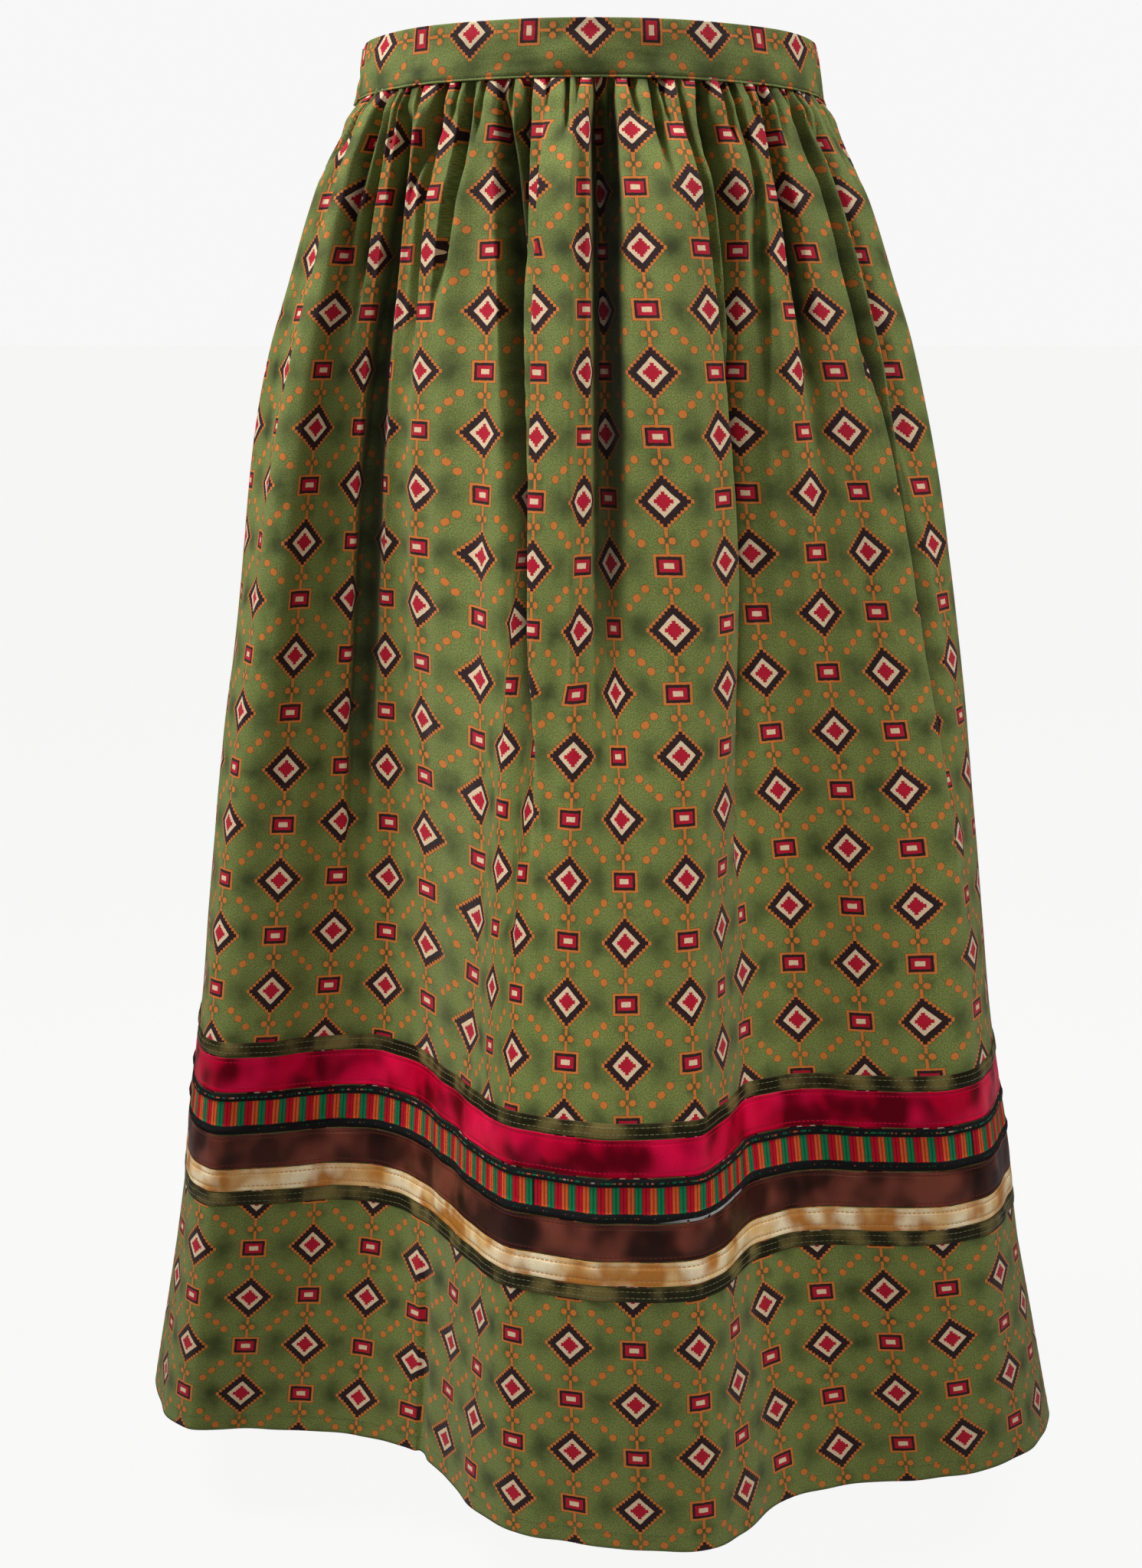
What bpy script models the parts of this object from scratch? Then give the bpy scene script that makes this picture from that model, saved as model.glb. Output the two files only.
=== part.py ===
"""A gathered ribbon skirt, ankle length, standing in the round form it has when worn.

Two wide panels, front and back, are gathered into a waistband and hang in soft lobes.
Six ribbons run all the way round above the hem.  The origin is the middle of the waist
opening, +Z is up, and the front of the skirt faces -Y.  Lengths are in metres.

A place on the cloth is given by u, the distance round the skirt along the cloth from the
left side seam, and by drop, the height below the waist opening.
"""
import bpy
import numpy as np

# Waist and waistband
WAIST_HALF_WIDTH = 0.147
WAIST_HALF_DEPTH = 0.117
BAND_HEIGHT = 0.036
BAND_FLARE = 0.006
BAND_WALL = 0.0024
WAIST_TILT = 0.113
TILT_ENDS = 0.40
ELASTIC_WAVES = 20
ELASTIC_HEIGHT = 0.0016

# Panels
PANEL_CUT = 1.008
ROUND_CUT = 2 * PANEL_CUT
HEM_DROP = 0.932
PANEL_WALL = 0.0014
SEAM_GAP = 0.0003

# Gathers under the waistband
GATHERS = {"front": 22, "back": 16}
GATHER_HEIGHT = 0.0062
GATHER_AT_SEAM = 0.45
GATHER_SWELL = 0.016
GATHER_REACH = 0.17
GATHER_ENDS = 0.58
# How unevenly the gathers lie: waves round the skirt, their phase, and their share
WIDTH_WAVES = ((5, 0.0050), (13, 0.0030))
REACH_WAVES = ((11, 1.0, 0.35), (27, 2.0, 0.25))
HEIGHT_WAVES = ((17, 4.0, 0.18),)

# Long folds: how far above its start a fold begins and is full, and where it starts to fade
FOLD_LEAD_IN = 0.03
FOLD_FULL = 0.06
FOLD_FADES_FROM = 0.45

# Ribbons, lying on the panels
RIBBON_WALL = 0.0010
RIBBON_CLEARANCE = 0.0003
RIBBON_SPACING = 0.0008
LOWEST_RIBBON = 0.175
HEM_LEAN = 0.985

# Mesh fineness
NORMAL_STEP = 0.003
SHARPEST_BEND = 0.6
COLUMNS_PER_GATHER = 4
BAND_COLUMNS = 40
UPPER_ROWS = (0.000, 0.009, 0.026, 0.050, 0.082, 0.125, 0.180, 0.245, 0.320, 0.405, 0.495, 0.575)
HEM_ROWS = (0.120, 0.060, 0.012, 0.000)

# How far the cloth has spread from the waist's oval to its outline at the ribbons
SPREAD = (
    # drop   spread
    (0.036, 0.000),
    (0.058, 0.060),
    (0.077, 0.120),
    (0.115, 0.235),
    (0.154, 0.335),
    (0.193, 0.435),
    (0.253, 0.550),
    (0.314, 0.645),
    (0.376, 0.725),
    (0.439, 0.805),
    (0.503, 0.870),
    (0.568, 0.925),
    (0.647, 1.000),
)

# How far it has gone on from there to its outline at the hem
FLARE = (
    # drop   flare
    (0.560, 0.000),
    (0.647, 0.000),
    (0.701, 0.170),
    (0.770, 0.370),
    (0.840, 0.630),
    (0.932, 1.000),
)

# The outline seen from above, in millimetres: u, then x and y at the ribbons and at the hem
DRAPE = (
    # u     ribbon_x ribbon_y  hem_x  hem_y
    (0,       -270,     8,     -317,    26),
    (90,      -267,   -78,     -308,   -62),
    (147,     -250,  -125,     -281,  -108),
    (189,     -214,  -125,     -242,  -108),
    (231,     -178,  -113,     -200,  -111),
    (273,     -140,  -112,     -158,  -119),
    (315,     -111,  -142,     -125,  -137),
    (357,      -91,  -181,      -99,  -172),
    (399,      -72,  -221,      -80,  -214),
    (441,      -50,  -253,      -52,  -246),
    (504,        3,  -275,        5,  -266),
    (567,       61,  -271,       69,  -272),
    (609,       83,  -241,       98,  -250),
    (651,      100,  -204,      127,  -209),
    (693,      135,  -187,      165,  -189),
    (777,      213,  -193,      250,  -174),
    (819,      247,  -178,      287,  -153),
    (870,      267,  -133,      317,  -114),
    (930,      272,   -75,      326,   -58),
    (1008,     268,     0,      322,    18),
    (1087,     262,    72,      312,    96),
    (1163,     232,   130,      276,   163),
    (1229,     182,   158,      219,   196),
    (1289,     130,   150,      160,   184),
    (1345,      95,   123,      118,   149),
    (1395,      72,   158,       92,   190),
    (1452,      45,   200,       60,   236),
    (1514,       0,   224,        5,   262),
    (1573,     -46,   213,      -52,   250),
    (1634,     -78,   175,      -92,   206),
    (1688,    -102,   139,     -120,   165),
    (1742,    -146,   134,     -172,   160),
    (1808,    -194,   154,     -230,   186),
    (1871,    -240,   132,     -284,   158),
    (1939,    -264,    76,     -312,    98),
)

# Long folds that stand out (+) or lie in (-), in millimetres.  Each runs from u_top to
# u_low, rises over one flank, keeps its top for a while and falls over the other flank.
FOLDS = (
    # u_top u_low  rise  top  fall  height start   end
    (100,   96,    30,    4,   22,    8,    50,   420),
    (168,   170,   34,    6,   16,   10,    40,   540),
    (245,   258,   26,    4,   22,  -14,    36,   580),
    (300,   308,   24,    4,   16,   10,    36,   400),
    (372,   378,   18,    4,   24,    9,    36,   360),
    (428,   420,   22,    2,   12,  -10,    60,   540),
    (476,   464,   11,   30,   11,   17,    36,   540),
    (520,   512,   11,    4,   26,  -14,    50,   540),
    (566,   566,   24,    6,   18,    9,    36,   400),
    (618,   640,   20,    4,   12,  -16,    36,   580),
    (664,   676,   12,    4,   26,   11,    36,   460),
    (706,   700,   11,    4,   26,  -12,    36,   440),
    (745,   752,   12,    4,   26,   12,    36,   460),
    (779,   790,   11,    4,   22,  -12,    36,   560),
    (845,   850,   26,    4,   18,   10,    45,   580),
    (905,   915,   20,    4,   20,   -9,    60,   460),
    (965,   970,   24,    4,   20,    7,    60,   360),
    (1090,  1096,  26,    6,   30,    9,    36,   500),
    (1168,  1160,  20,    4,   24,  -12,    40,   560),
    (1235,  1240,  26,    6,   20,   13,    36,   580),
    (1312,  1318,  22,    6,   26,  -12,    45,   480),
    (1400,  1408,  24,   10,   16,   12,    36,   560),
    (1474,  1468,  14,    6,   24,  -12,    36,   440),
    (1545,  1552,  26,    6,   20,   12,    50,   540),
    (1618,  1612,  16,    4,   26,  -13,    36,   580),
    (1700,  1708,  24,    8,   20,   11,    40,   480),
    (1790,  1796,  20,    4,   26,  -11,    50,   420),
    (1870,  1876,  26,    6,   24,   10,    45,   500),
    (1946,  1950,  24,    6,   24,   -8,    60,   400),
)

RIBBONS = (
    # name                 width   colour                 roughness
    ("olive_ribbon_lower", 0.010, (0.043, 0.036, 0.008), 0.45),
    ("gold_ribbon",        0.016, (0.780, 0.500, 0.190), 0.35),
    ("brown_ribbon",       0.025, (0.042, 0.012, 0.009), 0.35),
    ("woven_trim",         0.030, (0.330, 0.090, 0.020), 0.80),
    ("crimson_ribbon",     0.025, (0.370, 0.001, 0.030), 0.35),
    ("olive_ribbon_upper", 0.010, (0.043, 0.036, 0.008), 0.45),
)
COTTON_COLOUR = (0.150, 0.200, 0.060)
COTTON_ROUGHNESS = 0.75


def smooth(low, high, value):
    """0 below low, 1 above high, and an S-shaped cubic between them."""
    t = np.clip((value - low) / (high - low), 0.0, 1.0)
    return t * t * (3.0 - 2.0 * t)


def curve_through(knots, values, where):
    """A smooth curve through values at knots: cubics whose slope at a knot is that between
    its two neighbours."""
    slopes = np.empty_like(values)
    slopes[1:-1] = (values[2:] - values[:-2]) / (knots[2:] - knots[:-2])
    slopes[0] = (values[1] - values[0]) / (knots[1] - knots[0])
    slopes[-1] = (values[-1] - values[-2]) / (knots[-1] - knots[-2])
    i = np.clip(np.searchsorted(knots, where, side="right") - 1, 0, len(knots) - 2)
    step = knots[i + 1] - knots[i]
    t = (where - knots[i]) / step
    start = values[i] * (1 + 2 * t) * (1 - t) ** 2 + slopes[i] * step * t * (1 - t) ** 2
    end = values[i + 1] * t * t * (3 - 2 * t) - slopes[i + 1] * step * t * t * (1 - t)
    return start + end


def table_curve(table, drop):
    """Reads a two-column table as a smooth curve, level beyond its ends."""
    knots, values = np.array(table).T
    return curve_through(knots, values, np.clip(drop, knots[0], knots[-1]))


def drape_curve(column, u):
    """One column of the drape table as a smooth closed curve of u."""
    table = np.array(DRAPE, dtype=float) / 1000
    around = np.vstack([table[-3:], table, table[:3]])
    around[:3, 0] -= ROUND_CUT
    around[-3:, 0] += ROUND_CUT
    return curve_through(around[:, 0], around[:, column], np.mod(u, ROUND_CUT))


def outline(u, drop):
    """The plain outline at a drop: the waist's oval, spread to the ribbons' outline and
    flared to the hem's."""
    angle = 2 * np.pi * u / ROUND_CUT
    spread = table_curve(SPREAD, drop)
    flare = table_curve(FLARE, drop)
    oval_x = -(WAIST_HALF_WIDTH + BAND_FLARE) * np.cos(angle)
    oval_y = -(WAIST_HALF_DEPTH + BAND_FLARE) * np.sin(angle)
    low_x = drape_curve(1, u) * (1 - flare) + drape_curve(3, u) * flare
    low_y = drape_curve(2, u) * (1 - flare) + drape_curve(4, u) * flare
    return np.stack([oval_x * (1 - spread) + low_x * spread,
                     oval_y * (1 - spread) + low_y * spread], axis=-1)


def outward(u, drop):
    """The outward direction of the plain outline, across its run."""
    run = outline(u + NORMAL_STEP, drop) - outline(u - NORMAL_STEP, drop)
    across = np.stack([run[..., 1], -run[..., 0]], axis=-1)
    return across / np.linalg.norm(across, axis=-1, keepdims=True)


def fold_relief(u, drop):
    """How far the long folds stand out of the plain outline."""
    relief = np.zeros(np.broadcast(u, drop).shape)
    for row in FOLDS:
        u_top, u_low, rise, top, fall, height, start, end = np.array(row) / 1000
        middle = u_top + (u_low - u_top) * np.clip((drop - start) / (end - start), 0, 1)
        x = np.mod(u - middle + ROUND_CUT / 2, ROUND_CUT) - ROUND_CUT / 2
        across = smooth(-rise - top / 2, -top / 2, x) * (1 - smooth(top / 2, top / 2 + fall, x))
        begun = smooth(start - FOLD_LEAD_IN, start + FOLD_FULL, drop)
        along = begun * (1 - smooth(FOLD_FADES_FROM * end, end, drop))
        relief = relief + height * across * along
    return relief


def uneven(u, waves):
    """A factor about 1 that varies round the skirt."""
    turn = 2 * np.pi * u / ROUND_CUT
    return 1 + sum(share * np.sin(count * turn + phase) for count, phase, share in waves)


def gather_relief(panel, p, u, drop):
    """A wave for each gather, which swells just under the seam and dies out lower down,
    further down on some gathers than on others."""
    below = np.maximum(drop - BAND_HEIGHT, 0)
    reach = GATHER_REACH * uneven(u, REACH_WAVES)
    height = GATHER_HEIGHT * uneven(u, HEIGHT_WAVES)
    swell = GATHER_AT_SEAM + (1 - GATHER_AT_SEAM) * smooth(0, GATHER_SWELL, below)
    fade = np.exp(-below / reach) * (1 - smooth(0.5 * GATHER_ENDS, GATHER_ENDS, drop))
    return height * swell * fade * np.cos(2 * np.pi * GATHERS[panel] * p)


def panel_u(panel, p):
    """The cloth distance u at a share p of a panel's width, with gathers of uneven width."""
    shift = sum(share * np.sin(count * np.pi * p) for count, share in WIDTH_WAVES)
    return PANEL_CUT * (p + shift) + (PANEL_CUT if panel == "back" else 0)


def add_height(plan, drop):
    """Adds the height: the rows near the waist tilt with it, those below lie level."""
    tilt = WAIST_TILT * (1 - smooth(BAND_HEIGHT, TILT_ENDS, drop))
    return np.column_stack([plan, -drop - tilt * plan[:, 1]])


def cloth_row(panel, p, drop):
    """The outer points of a panel at one drop."""
    u = panel_u(panel, p)
    drops = np.full_like(u, drop)
    relief = fold_relief(u, drops) + gather_relief(panel, p, u, drops)
    plan = outline(u, drops) + relief[:, None] * outward(u, drops)
    return add_height(plan, drop)


def part_at_seams(row, panel, drop):
    """Draws a row's two ends back along the outline, half the seam gap each."""
    ends = panel_u(panel, np.array([0.0, 1.0]))
    across = outward(ends, np.full(2, drop))
    along = np.column_stack([-across[:, 1], across[:, 0]])
    parted = row.copy()
    parted[0, :2] += along[0] * SEAM_GAP / 2
    parted[-1, :2] -= along[1] * SEAM_GAP / 2
    return parted


def moved(row, distance, ends):
    """A row moved level along its own outward direction, by more at a bend, so that the
    wall between the two rows keeps its thickness.  ends holds the outward directions of
    an open row's two ends; without it the row is a closed loop."""
    closed = ends is None
    run = np.diff(np.vstack([row, row[:1]]) if closed else row, axis=0)[:, :2]
    side = np.column_stack([run[:, 1], -run[:, 0]])
    side /= np.linalg.norm(side, axis=1, keepdims=True)
    before = np.roll(side, 1, axis=0) if closed else np.vstack([side[:1], side])
    after = side if closed else np.vstack([side, side[-1:]])
    mean = before + after
    mean /= np.linalg.norm(mean, axis=1, keepdims=True)
    if not closed:
        mean[0], mean[-1] = ends
    bend = np.clip(np.sum(mean * after, axis=1), SHARPEST_BEND, 1.0)
    result = row.copy()
    result[:, :2] += mean * (distance / bend)[:, None]
    return result


def strip(upper, lower):
    """Triangles between two rows of point numbers; the upper row may be twice as fine."""
    faces = []
    if len(upper) == len(lower):
        for i in range(len(upper) - 1):
            faces.append((upper[i], lower[i], lower[i + 1]))
            faces.append((upper[i], lower[i + 1], upper[i + 1]))
        return faces
    for i in range(len(lower) - 1):
        left, middle, right = upper[2 * i], upper[2 * i + 1], upper[2 * i + 2]
        faces.append((left, lower[i], middle))
        faces.append((middle, lower[i], lower[i + 1]))
        faces.append((middle, lower[i + 1], right))
    return faces


def wall_mesh(name, outer, inner, closed):
    """A closed wall between an outer and an inner skin, each a list of rows, top first."""
    points = np.vstack(outer + inner)
    numbers = []
    first = 0
    for row in outer + inner:
        ids = list(range(first, first + len(row)))
        numbers.append(ids + ids[:1] if closed else ids)
        first += len(row)
    out_ids = numbers[:len(outer)]
    in_ids = numbers[len(outer):]
    faces = []
    for upper, lower in zip(out_ids, out_ids[1:]):
        faces += strip(upper, lower)
    for upper, lower in zip(in_ids, in_ids[1:]):
        faces += [face[::-1] for face in strip(upper, lower)]
    faces += strip(in_ids[0], out_ids[0])
    faces += strip(out_ids[-1], in_ids[-1])
    if not closed:
        faces += strip([row[0] for row in out_ids], [row[0] for row in in_ids])
        faces += strip([row[-1] for row in in_ids], [row[-1] for row in out_ids])
    mesh = bpy.data.meshes.new(name)
    mesh.from_pydata(points.tolist(), [], faces)
    mesh.validate()
    mesh.shade_smooth()
    return mesh


def make_material(name, colour, roughness):
    material = bpy.data.materials.new(name)
    material.use_nodes = True
    shader = material.node_tree.nodes["Principled BSDF"]
    shader.inputs["Base Color"].default_value = (*colour, 1.0)
    shader.inputs["Roughness"].default_value = roughness
    shader.inputs["Metallic"].default_value = 0.0
    return material


def add_piece(collection, mesh, material):
    piece = bpy.data.objects.new(mesh.name, mesh)
    piece.data.materials.append(material)
    collection.objects.link(piece)
    return piece


def ribbon_edges():
    """The drops of each ribbon's upper and lower edges, lowest ribbon first."""
    edges = []
    above_hem = LOWEST_RIBBON
    for _, width, _, _ in RIBBONS:
        upper = HEM_DROP - HEM_LEAN * (above_hem + width)
        lower = HEM_DROP - HEM_LEAN * above_hem
        edges.append((upper, lower))
        above_hem += width + RIBBON_SPACING
    return edges


def lower_drops():
    """The panels' rows from the top of the ribbons to the hem: one midway between each
    two ribbons, one at the topmost and lowest edges, and a few down to the hem."""
    edges = ribbon_edges()
    drops = [edges[-1][0]]
    for above, below in zip(edges[:0:-1], edges[-2::-1]):
        drops.append((above[1] + below[0]) / 2)
    drops.append(edges[0][1])
    drops += [HEM_DROP - above_hem for above_hem in HEM_ROWS]
    return drops


def columns(panel, per_gather):
    count = GATHERS[panel] * per_gather
    return np.linspace(0, 1, count + 1)


def make_panel(collection, panel, material):
    """A panel: gathered rows down to the ribbons, and rows half as fine below."""
    rows = [(BAND_HEIGHT + SEAM_GAP + below, COLUMNS_PER_GATHER) for below in UPPER_ROWS]
    rows += [(drop, COLUMNS_PER_GATHER // 2) for drop in lower_drops()]
    outer = []
    inner = []
    for drop, per_gather in rows:
        row = cloth_row(panel, columns(panel, per_gather), drop)
        row = part_at_seams(row, panel, drop)
        ends = outward(panel_u(panel, np.array([0.0, 1.0])), np.full(2, drop))
        outer.append(row)
        inner.append(moved(row, -PANEL_WALL, ends))
    return add_piece(collection, wall_mesh("panel_" + panel, outer, inner, False), material)


def make_ribbon(collection, name, upper, lower, material):
    """A ribbon: a closed band made from the panels' points, moved out."""
    inner = []
    outer = []
    for drop in (upper, lower):
        halves = []
        for panel in ("front", "back"):
            halves.append(cloth_row(panel, columns(panel, COLUMNS_PER_GATHER // 2), drop)[:-1])
        row = np.vstack(halves)
        inner.append(moved(row, RIBBON_CLEARANCE, None))
        outer.append(moved(row, RIBBON_CLEARANCE + RIBBON_WALL, None))
    return add_piece(collection, wall_mesh(name, outer, inner, True), material)


def band_row(angle, flare, drop, wave):
    """A level row of the waistband, an oval that widens with its flare."""
    half_width = WAIST_HALF_WIDTH + flare + wave
    half_depth = WAIST_HALF_DEPTH + flare + wave
    plan = np.column_stack([-half_width * np.cos(angle), -half_depth * np.sin(angle)])
    return np.column_stack([plan, -drop - WAIST_TILT * plan[:, 1]])


def make_band(collection, name, angle, wave, material):
    """Half of the waistband, from its upper edge to its lower edge."""
    edges = [(0.0, 0.0), (BAND_FLARE, BAND_HEIGHT)]
    outer = [band_row(angle, flare, drop, wave) for flare, drop in edges]
    inner = [band_row(angle, flare - BAND_WALL, drop, wave) for flare, drop in edges]
    return add_piece(collection, wall_mesh(name, outer, inner, False), material)


def make_bands(collection, material):
    """A smooth front half, and a back half drawn into small waves by its elastic."""
    seam = SEAM_GAP / 2 / WAIST_HALF_DEPTH
    front = np.linspace(seam, np.pi - seam, BAND_COLUMNS + 1)
    make_band(collection, "waistband_front", front, np.zeros_like(front), material)
    share = np.linspace(0, 1, ELASTIC_WAVES * 4 + 1)
    back = np.pi + seam + share * (np.pi - 2 * seam)
    wave = ELASTIC_HEIGHT * (1 - np.cos(2 * np.pi * ELASTIC_WAVES * share)) / 2
    make_band(collection, "waistband_back", back, wave, material)


def build():
    for old in list(bpy.data.objects):
        bpy.data.objects.remove(old, do_unlink=True)
    collection = bpy.data.collections.new("ribbon_skirt")
    bpy.context.scene.collection.children.link(collection)
    cotton = make_material("printed_cotton", COTTON_COLOUR, COTTON_ROUGHNESS)
    make_bands(collection, cotton)
    for panel in ("front", "back"):
        make_panel(collection, panel, cotton)
    for (name, _, colour, roughness), (upper, lower) in zip(RIBBONS, ribbon_edges()):
        make_ribbon(collection, name, upper, lower, make_material(name, colour, roughness))


build()
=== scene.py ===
# %% [markdown]
# # A ribbon skirt, dressed over its plain model
#
# The real skirt is printed cotton, gathered into a waistband, with six ribbons stitched
# round it above the hem.  A plain model of it already exists: two wavy walls, two bands and
# six loops.  This lesson lays finer cloth over that model: the same outline with sharper
# folds and creases, the print, the sheen of the satin, the corded trim and the stitching.

# %% Load the plain model
import bpy
import numpy as np
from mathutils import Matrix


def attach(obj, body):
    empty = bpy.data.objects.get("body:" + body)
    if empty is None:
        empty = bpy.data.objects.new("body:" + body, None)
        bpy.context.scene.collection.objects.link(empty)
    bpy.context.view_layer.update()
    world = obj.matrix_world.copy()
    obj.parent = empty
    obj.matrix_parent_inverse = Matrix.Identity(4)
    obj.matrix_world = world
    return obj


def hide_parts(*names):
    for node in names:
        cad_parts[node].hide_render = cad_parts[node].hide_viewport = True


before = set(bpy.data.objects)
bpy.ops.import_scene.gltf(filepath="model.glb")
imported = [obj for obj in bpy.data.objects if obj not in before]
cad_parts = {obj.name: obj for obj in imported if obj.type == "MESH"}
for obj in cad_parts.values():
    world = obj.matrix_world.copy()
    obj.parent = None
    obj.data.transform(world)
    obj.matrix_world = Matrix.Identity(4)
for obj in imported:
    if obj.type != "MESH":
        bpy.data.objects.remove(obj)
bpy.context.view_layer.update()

# %% [markdown]
# ## The camera
#
# The photo looks slightly down on the skirt from a metre and a half in front of it.  The
# curve of the hem and of the ribbons gave the tilt, and the waist's width the lens.


# %% Camera
CAMERA_TILT = 13.5


def place_camera():
    """A camera in front of the skirt, tilted down."""
    lens = bpy.data.cameras.new("camera")
    lens.lens = 59.2
    lens.sensor_width = 36.0
    camera = bpy.data.objects.new("camera", lens)
    camera.location = (-0.0128, -1.753, -0.0744)
    camera.rotation_euler = (np.radians(90 - CAMERA_TILT), 0.0, 0.0)
    bpy.context.scene.collection.objects.link(camera)
    bpy.context.scene.camera = camera
    return camera


camera = place_camera()
print("camera stands at", [round(x, 3) for x in camera.location])

# %% [markdown]
# ## The room
#
# The floor is a plain pale sheet and the room behind it is white.  Both look paler to the
# camera than they are to the cloth, so the skirt's deep folds stay dark.  Two soft boxes stand
# to the left and right and a little in front: cloth that faces sideways is brighter than
# cloth that faces us.  They hang high, which lets the light fade towards the hem.  A third
# box in front has a narrow beam, and lifts the middle of the skirt alone.


# %% Floor
FLOOR_HEIGHT = -1.000
FLOOR_HALF = 12.0
FLOOR_GLOW = 0.92


def make_floor():
    """A wide level square, below the hem."""
    mesh = bpy.data.meshes.new("floor")
    corners = [(FLOOR_HALF * x, FLOOR_HALF * y, FLOOR_HEIGHT)
               for x, y in ((-1, -1), (1, -1), (1, 1), (-1, 1))]
    mesh.from_pydata(corners, [], [(0, 1, 2, 3)])
    floor = bpy.data.objects.new("floor", mesh)
    paint = bpy.data.materials.new("floor_paint")
    paint.use_nodes = True
    nodes = paint.node_tree.nodes
    shader = nodes["Principled BSDF"]
    shader.inputs["Base Color"].default_value = (0.34, 0.34, 0.335, 1.0)
    shader.inputs["Roughness"].default_value = 0.9
    glow = nodes.new("ShaderNodeEmission")
    glow.inputs["Color"].default_value = (1.0, 1.0, 0.995, 1.0)
    share = nodes.new("ShaderNodeMath")
    share.operation = "MULTIPLY"
    share.inputs[1].default_value = FLOOR_GLOW
    mix = nodes.new("ShaderNodeMixShader")
    link = paint.node_tree.links.new
    link(nodes.new("ShaderNodeLightPath").outputs["Is Camera Ray"], share.inputs[0])
    link(share.outputs[0], mix.inputs[0])
    link(shader.outputs[0], mix.inputs[1])
    link(glow.outputs[0], mix.inputs[2])
    link(mix.outputs[0], nodes["Material Output"].inputs["Surface"])
    for place, node in enumerate((shader, glow, share, mix, nodes["Material Output"])):
        node.location = (260 * place, -200 * (place % 2))
    mesh.materials.append(paint)
    bpy.context.scene.collection.objects.link(floor)


make_floor()
print("the floor lies", FLOOR_HEIGHT, "m from the waist opening")

# %% Lights
ROOM_LIGHT = 0.035
ROOM_LOOK = 0.935


def soft_box(name, place, aim, size, power, spread):
    """A square lamp at a place, turned to face a point; spread is its beam in degrees."""
    lamp = bpy.data.lights.new(name, "AREA")
    lamp.size = size
    lamp.energy = power
    lamp.spread = np.radians(spread)
    box = bpy.data.objects.new(name, lamp)
    box.location = place
    away = box.location - type(box.location)(aim)
    box.rotation_euler = away.to_track_quat("Z", "Y").to_euler()
    bpy.context.scene.collection.objects.link(box)


def light_room():
    """A room that looks white and lights dimly, and three soft boxes."""
    world = bpy.data.worlds.new("pale_room")
    world.use_nodes = True
    nodes = world.node_tree.nodes
    sky = nodes["Background"]
    sky.inputs["Color"].default_value = (1.0, 1.0, 1.0, 1.0)
    strength = nodes.new("ShaderNodeMapRange")
    strength.inputs["To Min"].default_value = ROOM_LIGHT
    strength.inputs["To Max"].default_value = ROOM_LOOK
    strength.location = (-200, 0)
    path = nodes.new("ShaderNodeLightPath")
    path.location = (-400, 0)
    world.node_tree.links.new(path.outputs["Is Camera Ray"], strength.inputs["Value"])
    world.node_tree.links.new(strength.outputs[0], sky.inputs["Strength"])
    bpy.context.scene.world = world
    soft_box("left_box", (-1.60, -0.28, 1.60), (0, 0, -0.35), 0.8, 24, 100)
    soft_box("right_box", (1.50, -0.30, 1.75), (0, 0, -0.30), 0.8, 16, 100)
    soft_box("front_box", (0.0, -1.90, 0.40), (0.07, -0.2, -0.62), 0.6, 0.90, 36)
    bpy.context.scene.view_settings.view_transform = "Standard"


light_room()

# %% [markdown]
# ## The outline of the cloth
#
# A place on the cloth is given by two numbers: u, the way round from the left side seam,
# and drop, the height below the waist opening.  At the waist the skirt is an oval; at the
# ribbons and the hem it is the drape below, read off the photo in front and made up behind.
# Smooth curves run through the rows of each table.

# %% Outline tables
WAIST_HALF_WIDTH = 0.147
WAIST_HALF_DEPTH = 0.117
BAND_HEIGHT = 0.036
BAND_FLARE = 0.006
WAIST_TILT = 0.113
TILT_ENDS = 0.40
PANEL_CUT = 1.008
ROUND_CUT = 2 * PANEL_CUT
HEM_DROP = 0.932

SPREAD = (
    # drop, spread from the waist's oval to the outline at the ribbons
    (0.036, 0.000),
    (0.058, 0.060),
    (0.077, 0.120),
    (0.115, 0.235),
    (0.154, 0.335),
    (0.193, 0.435),
    (0.253, 0.550),
    (0.314, 0.645),
    (0.376, 0.725),
    (0.439, 0.805),
    (0.503, 0.870),
    (0.568, 0.925),
    (0.647, 1.000),
)
FLARE = (
    # drop, flare from the outline at the ribbons to the outline at the hem
    (0.560, 0.000),
    (0.647, 0.000),
    (0.701, 0.170),
    (0.770, 0.370),
    (0.840, 0.630),
    (0.932, 1.000),
)
DRAPE = (
    # u, ribbon_x, ribbon_y, hem_x, hem_y, in millimetres
    (0, -270, 8, -317, 26),
    (90, -267, -78, -308, -62),
    (147, -250, -125, -281, -108),
    (189, -214, -125, -242, -108),
    (231, -178, -113, -200, -111),
    (273, -140, -112, -158, -119),
    (315, -111, -142, -125, -137),
    (357, -91, -181, -99, -172),
    (399, -72, -221, -80, -214),
    (441, -50, -253, -52, -246),
    (504, 3, -275, 5, -266),
    (567, 61, -271, 69, -272),
    (609, 83, -241, 98, -250),
    (651, 100, -204, 127, -209),
    (693, 135, -187, 165, -189),
    (777, 213, -193, 250, -174),
    (819, 247, -178, 287, -153),
    (870, 267, -133, 317, -114),
    (930, 272, -75, 326, -58),
    (1008, 268, 0, 322, 18),
    (1087, 262, 72, 312, 96),
    (1163, 232, 130, 276, 163),
    (1229, 182, 158, 219, 196),
    (1289, 130, 150, 160, 184),
    (1345, 95, 123, 118, 149),
    (1395, 72, 158, 92, 190),
    (1452, 45, 200, 60, 236),
    (1514, 0, 224, 5, 262),
    (1573, -46, 213, -52, 250),
    (1634, -78, 175, -92, 206),
    (1688, -102, 139, -120, 165),
    (1742, -146, 134, -172, 160),
    (1808, -194, 154, -230, 186),
    (1871, -240, 132, -284, 158),
    (1939, -264, 76, -312, 98),
)
print("the drape has", len(DRAPE), "places round the skirt")


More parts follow.
